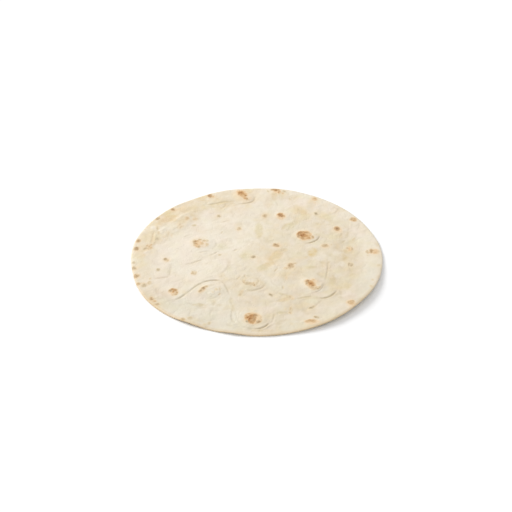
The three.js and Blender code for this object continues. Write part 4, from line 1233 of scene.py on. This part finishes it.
def dough_material():
    """Baked wheat dough: mottled cream, golden patches and toasted browns, matte and finely pitted."""
    material = bpy.data.materials.new("dough")
    material.use_nodes = True
    shader = Shader(material)
    shader.feed(shader.bsdf.inputs["Base Color"], toasted_colour(shader, dough_colour(shader)))
    shader.feed(shader.bsdf.inputs["Roughness"], shader.spread(ROUGHNESS))
    shader.bsdf.inputs["Specular IOR Level"].default_value = SPECULAR
    normal = shader.bump(shader.noise(UNEVENNESS), UNEVEN_DEPTH)
    from_vein = shader.calculate("ABSOLUTE", shader.calculate("SUBTRACT", shader.noise(VEINS), VEIN_VALUE))
    normal = shader.bump(shader.span(from_vein, 0.0, VEIN_WIDTH), VEIN_DEPTH, normal)
    normal = shader.bump(shader.noise(PITS), PIT_DEPTH, normal)
    shader.feed(shader.bsdf.inputs["Normal"], normal)
    return material


def make_floor():
    """A plain pale floor."""
    material = bpy.data.materials.new("floor")
    material.use_nodes = True
    bsdf = material.node_tree.nodes["Principled BSDF"]
    bsdf.inputs["Base Color"].default_value = (FLOOR_GREY, FLOOR_GREY, FLOOR_GREY, 1)
    bsdf.inputs["Roughness"].default_value = FLOOR_ROUGHNESS
    bsdf.inputs["Specular IOR Level"].default_value = FLOOR_SPECULAR
    mesh = bpy.data.meshes.new("floor")
    half = FLOOR_SIDE / 2
    corners = [(-half, -half, 0), (half, -half, 0), (half, half, 0), (-half, half, 0)]
    mesh.from_pydata(corners, [], [(0, 1, 2, 3)])
    mesh.materials.append(material)
    floor = bpy.data.objects.new("floor", mesh)
    bpy.context.scene.collection.objects.link(floor)


def make_light():
    """Soft white light all round, and a soft key from behind on the left."""
    scene = bpy.context.scene
    world = bpy.data.worlds.new("studio")
    world.use_nodes = True
    world.node_tree.nodes["Background"].inputs["Color"].default_value = (1, 1, 1, 1)
    world.node_tree.nodes["Background"].inputs["Strength"].default_value = SKY_STRENGTH
    scene.world = world
    key = bpy.data.lights.new("key", "SUN")
    key.energy = KEY_STRENGTH
    key.angle = math.radians(KEY_SOFTNESS)
    lamp = bpy.data.objects.new("key", key)
    lamp.rotation_euler = (0, math.radians(90 - KEY_ELEVATION), math.radians(KEY_AZIMUTH))
    scene.collection.objects.link(lamp)
    scene.view_settings.view_transform = "Standard"


def make_camera():
    """The camera of the photograph."""
    data = bpy.data.cameras.new("camera")
    data.lens = LENS
    data.sensor_width = SENSOR
    camera = bpy.data.objects.new("camera", data)
    elevation = math.radians(CAMERA_ELEVATION)
    camera.rotation_euler = (math.pi / 2 - elevation, 0, 0)
    away = np.array([0, -math.cos(elevation), math.sin(elevation)]) * CAMERA_DISTANCE
    camera.location = (np.array(CAMERA_TARGET) + away) * MM
    bpy.context.scene.collection.objects.link(camera)
    bpy.context.scene.camera = camera


sheet = make_sheet()
sheet.data.materials.append(dough_material())
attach(sheet, "root")
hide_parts(NODE)
make_floor()
make_light()
make_camera()
